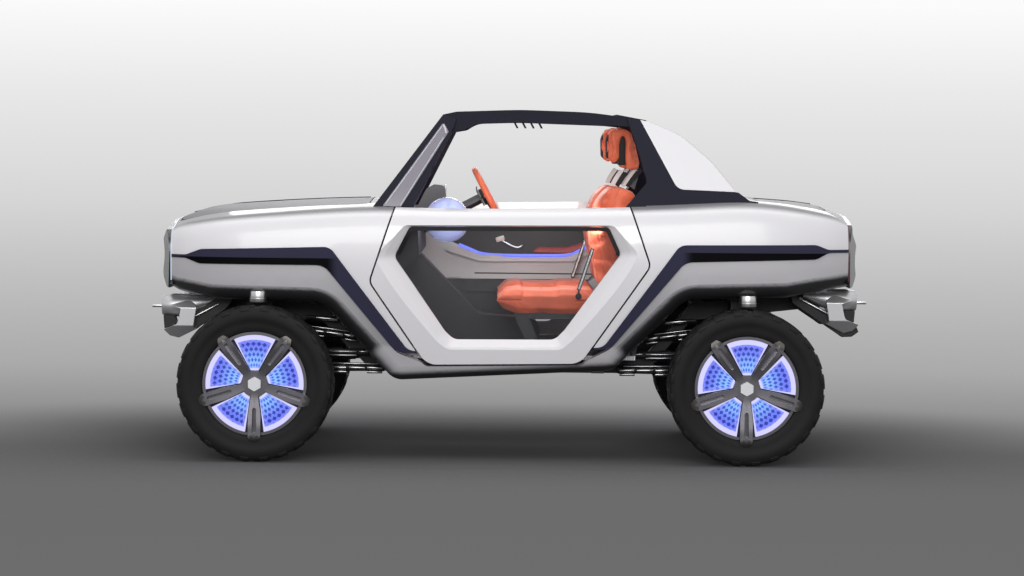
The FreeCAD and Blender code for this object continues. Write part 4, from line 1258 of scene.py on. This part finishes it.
class BUGGY_OT_running_gear(SceneOperator, bpy.types.Operator):
    """Axles, trailing links and strut caps"""

    bl_idname = "buggy.running_gear"
    bl_label = "Running gear"

    # Trailing links: a bar as distance from the axle and height at both ends, its half height, and the tubes on it as
    # height over the bar's middle, radius and stretches
    links = (
        ((0, 0.419), (0.590, 0.418), 0.026, ((0.020, 0.005, ((0.341, 0.563),)),
                                             (0, 0.010, ((0.346, 0.408), (0.419, 0.499), (0.509, 0.582))),
                                             (-0.020, 0.007, ((0.348, 0.409), (0.508, 0.582))))),
        ((0, 0.487), (0.512, 0.487), 0.014, ((0.009, 0.005, ((0.322, 0.458), (0.472, 0.512))),
                                             (-0.009, 0.005, ((0.322, 0.458),)))),
        ((0, 0.626), (0.470, 0.568), 0.024, ((0.019, 0.005, ((0.235, 0.417),)),
                                             (0, 0.009, ((0.249, 0.299), (0.309, 0.390), (0.400, 0.444))),
                                             (-0.021, 0.005, ((0.272, 0.299), (0.400, 0.454))))),
        ((0, 0.676), (0.380, 0.649), 0.013, ((0, 0.011, ((0.262, 0.365),)),)),
    )

    bar_y = 0.402
    tube_y = 0.424
    # Distance from the axle at which the links come out from behind the wheel
    shows_from = 0.215

    def execute(self, context):
        self.black = plastic("chassis_black", (0.012, 0.012, 0.013), 0.5)
        self.chrome = metal("link_metal", (0.42, 0.42, 0.43), 0.2)
        cap_metal = metal("cap_metal", (0.62, 0.61, 0.61), 0.3)
        give(["ladder_frame", "cross_members", "knuckle_left", "knuckle_right", "power_pack"], self.black)
        for end, axle in AXLES.items():
            give([f"{end}_suspension"], self.black)
            for side, sign in SIDES.items():
                self.bundles(end, side, axle, sign)
                x, y = axle - 0.007, sign * 0.712
                cap = rod("cap", (x, y, 0.7465), (x, y, 0.800), 0.040, 40, 0.003)
                rib = rod("rib", (x, y, 0.762), (x, y, 0.766), 0.042, 40)
                dressed(joined(f"strut_cap_{end}_{side}", [cap, rib]), "chassis", cap_metal)
        return {"FINISHED"}

    def bundles(self, end, side, axle, sign):
        """Bright tubes in stretches along each trailing link, and its dark bar behind them."""
        toward = -1 if end == "front" else 1
        tubes = []
        for start, finish, half, rows in self.links:
            x0, z0 = axle + toward * start[0], start[1]
            x1, z1 = axle + toward * finish[0], finish[1]

            def at(distance, over, y):
                share = (distance - start[0]) / (finish[0] - start[0])
                return Vector((x0 + (x1 - x0) * share, sign * y, z0 + (z1 - z0) * share + over))

            first, last = max(self.shows_from, start[0]), finish[0]
            points = [at(distance, 0, self.bar_y) for distance in (first, (first + last) / 2, last)]
            bar = tube("bar", points, half * 0.7)
            bar.data.materials.append(self.black)
            tubes.append(bar)
            for over, radius, stretches in rows:
                for near, far in stretches:
                    piece = rod("stretch", at(near, over, self.tube_y), at(far, over, self.tube_y), radius)
                    piece.data.materials.append(self.chrome)
                    tubes.append(piece)
        dressed(joined(f"link_tubes_{end}_{side}", tubes), "chassis")


class BUGGY_OT_wheels(SceneOperator, bpy.types.Operator):
    """Tyres with tread lugs, spoked rims and lit panels, modelled once and placed four times"""

    bl_idname = "buggy.wheels"
    bl_label = "Wheels"

    carcass = ((0.084, 0.246), (0.096, 0.250), (0.1000, 0.256), (0.1015, 0.275), (0.1035, 0.298), (0.1070, 0.304),
               (0.1073, 0.322), (0.1060, 0.342), (0.0985, 0.355), (0.084, 0.3610), (0.050, 0.3625), (0.018, 0.3627))
    lug_height = 0.0052
    steps_round = 96
    # Radii of the tread: where the shoulder lugs and the crown start, and the worn tip of both
    shoulder, crown, tip = 0.348, 0.3595, 0.3676
    half_width = 0.1073

    def execute(self, context):
        tyre = self.tyre()
        finishes = [metal("rim_gunmetal", (0.16, 0.155, 0.17), 0.3), metal("rim_ridge_painted_highlight", (0.45, 0.46, 0.50), 0.25),
                    plastic("rim_barrel", (0.010, 0.010, 0.012), 0.5), metal("hub_cap", (0.75, 0.76, 0.79), 0.35),
                    metal("spoke_tip", (0.085, 0.08, 0.075), 0.36)]
        lit = self.light_finish()
        for end, side in WHEELS:
            place = Vector((AXLES[end], SIDES[side] * WHEEL_Y, AXLE_Z))
            ring = again(tyre, f"tread_{end}_{side}", place, SIDES[side] < 0)
            dressed(ring, f"{end}_{side}_wheel", replaced=[f"tyre_{end}_{side}"])
            self.rim(end, side, place, finishes)
            self.lights(end, side, place, lit)
        bpy.data.objects.remove(tyre)
        return {"FINISHED"}

    def tyre(self):
        """A carcass turned from its section, with blocks of tread raised from its crown and shoulders."""
        bead = (0.084, 0.2455)
        half = [bead, *self.carcass]
        tyre = lathed("tyre_pattern", [(-y, r) for y, r in half] + half[::-1], self.steps_round)
        step = 2 * math.pi / self.steps_round

        def block(middle, normal):
            radius = math.hypot(middle.x, middle.z)
            turn = int((math.atan2(middle.z, middle.x) + math.pi) / step)
            if radius > self.crown:
                return turn % 4 != (0 if middle.y > 0 else 2)
            return self.shoulder < radius < self.crown and turn % 4 in ((1, 2) if middle.y > 0 else (3, 0))

        bpy.context.tool_settings.mesh_select_mode = (False, False, True)
        pick_faces(tyre, block)
        with editing(tyre):
            bpy.ops.mesh.inset(thickness=0.0022, depth=0.0, use_individual=False)
            bpy.ops.mesh.extrude_region_shrink_fatten(TRANSFORM_OT_shrink_fatten={"value": self.lug_height})
        for point in tyre.data.vertices:
            radius = math.hypot(point.co.x, point.co.z)
            if radius > self.tip:
                point.co.x *= self.tip / radius
                point.co.z *= self.tip / radius
            point.co.y = max(-self.half_width, min(self.half_width, point.co.y))
        applied(tyre, "BEVEL", width=0.0016, segments=2, limit_method="ANGLE", angle_limit=math.radians(45))
        f = Finish("tyre_rubber")
        dust = f.noise(9.0, 4.0)
        tone = f.blend(dust.step(0.4, 0.8), (0.0055, 0.0052, 0.0058), (0.0095, 0.009, 0.0095))
        tyre.data.materials.append(f.surface(Base_Color=tone, Roughness=0.62 + dust * 0.12, Specular_IOR_Level=0.25,
                                             Normal=f.bump(f.noise(400.0, 3.0), 0.0003)))
        return smooth(tyre, 35.0)

    def rim(self, end, side, place, finishes):
        """The spoked rim, its finishes shared out by distance from the axle and from the wheel's middle, with painted
        highlight on the spokes' sides.
        """
        name = f"rim_{end}_{side}"
        rim = copied(name, f"spoked_{end}_{side}")
        sign = SIDES[side]
        gunmetal, ridge, barrel, cap, tip = range(len(finishes))

        def chosen(middle, normal):
            radius = math.hypot(middle.x - place.x, middle.z - place.z)
            out = (middle.y - place.y) * sign
            if radius < 0.036 and out > 0.088:
                return cap
            if radius < 0.246 and out < 0.062:
                return barrel
            if radius > 0.243 and out > 0.08:
                return tip if radius > 0.246 else barrel
            # Faces within 0.225 of the axle that do not face outward get a lighter copy of the metal as painted
            # highlight.
            return ridge if normal.y * sign < 0.6 and radius < 0.225 else gunmetal

        parted(rim, finishes, chosen)
        dressed(rim, f"{end}_{side}_wheel", replaced=[name])

    def lights(self, end, side, place, finish):
        """The lit panels, which carry their own place in the wheel for the pattern."""
        name = f"wheel_light_{end}_{side}"
        panel = copied(name, f"lit_panels_{end}_{side}")
        spot = panel.data.attributes.new("wheel_place", "FLOAT_VECTOR", "POINT")
        for point, entry in zip(panel.data.vertices, spot.data):
            offset = point.co - place
            entry.vector = (offset.x, offset.y * SIDES[side], offset.z)
        dressed(panel, f"{end}_{side}_wheel", finish, [name])

    def light_finish(self):
        """A pale violet border round a blue field that brightens toward the hub, under a net of long cells."""
        f = Finish("wheel_glow").follow("wheel_place")
        x, _, z = f.axes()
        radius = (x * x + z * z).math("SQRT")
        angle = z.math("ARCTAN2", x)
        sector = 2 * math.pi / 5
        half_sector = math.radians(24.8)
        from_middle = abs((angle - math.pi / 2 + sector * 5.5).repeated(sector) - sector / 2)
        inset = (from_middle * -1.0 + half_sector).math("SINE") * radius
        border = inset.step(0.011, 0.008).either(radius.step(0.205, 0.209)).either(radius.step(0.078, 0.073))
        halo = inset.step(0.026, 0.014).either(radius.step(0.192, 0.204)).either(radius.step(0.092, 0.078))
        ring = 0.025
        row = radius.repeated(ring) * (1 / ring) - 0.5
        odd = (radius * (1 / ring)).math("FLOOR").repeated(2.0)
        cell = math.radians(8.0)
        column = (angle + odd * (cell / 2)).repeated(cell) * (1 / cell) - 0.5
        net = (abs(row) + abs(column)).step(0.36, 0.50)
        outward_share = radius.step(0.09, 0.19)
        deep = f.blend(outward_share, (0.03, 0.12, 0.72), (0.008, 0.012, 0.34))
        light = f.blend(outward_share, (0.26, 0.52, 1.0), (0.12, 0.18, 0.92))
        field = f.blend(halo * 0.4, f.blend(net, deep, light), (0.30, 0.34, 1.0))
        return f.surface(Base_Color=(0.03, 0.03, 0.06), Roughness=0.25, Coat_Weight=0.3,
                         Emission_Color=f.blend(border, field, (0.66, 0.64, 1.0)), Emission_Strength=1.0)


class BUGGY_PT_panel(bpy.types.Panel):
    """Lists the steps and the values behind them"""

    bl_label = "Dune buggy"
    bl_idname = "BUGGY_PT_panel"
    bl_space_type = "VIEW_3D"
    bl_region_type = "UI"
    bl_category = "Buggy"

    def draw(self, context):
        for settings in (context.scene.buggy_stage, context.scene.buggy_paint):
            for name in settings.bl_rna.properties.keys():
                if name not in ("rna_type", "name"):
                    self.layout.prop(settings, name)
        for operator in OPERATORS:
            self.layout.operator(operator.bl_idname)


SETTINGS = {"buggy_stage": StageSettings, "buggy_paint": PaintSettings}
OPERATORS = [BUGGY_OT_stage, BUGGY_OT_body, BUGGY_OT_cabin, BUGGY_OT_seats, BUGGY_OT_bumpers,
             BUGGY_OT_running_gear, BUGGY_OT_wheels]


def register():
    for group in SETTINGS.values():
        bpy.utils.register_class(group)
    for operator in OPERATORS:
        bpy.utils.register_class(operator)
    bpy.utils.register_class(BUGGY_PT_panel)
    for name, group in SETTINGS.items():
        setattr(bpy.types.Scene, name, PointerProperty(type=group))


def unregister():
    for name in SETTINGS:
        delattr(bpy.types.Scene, name)
    bpy.utils.unregister_class(BUGGY_PT_panel)
    for operator in reversed(OPERATORS):
        bpy.utils.unregister_class(operator)
    for group in SETTINGS.values():
        bpy.utils.unregister_class(group)


def main():
    register()
    for operator in OPERATORS:
        family, name = operator.bl_idname.split(".")
        getattr(getattr(bpy.ops, family), name)()


if __name__ == "__main__":
    main()
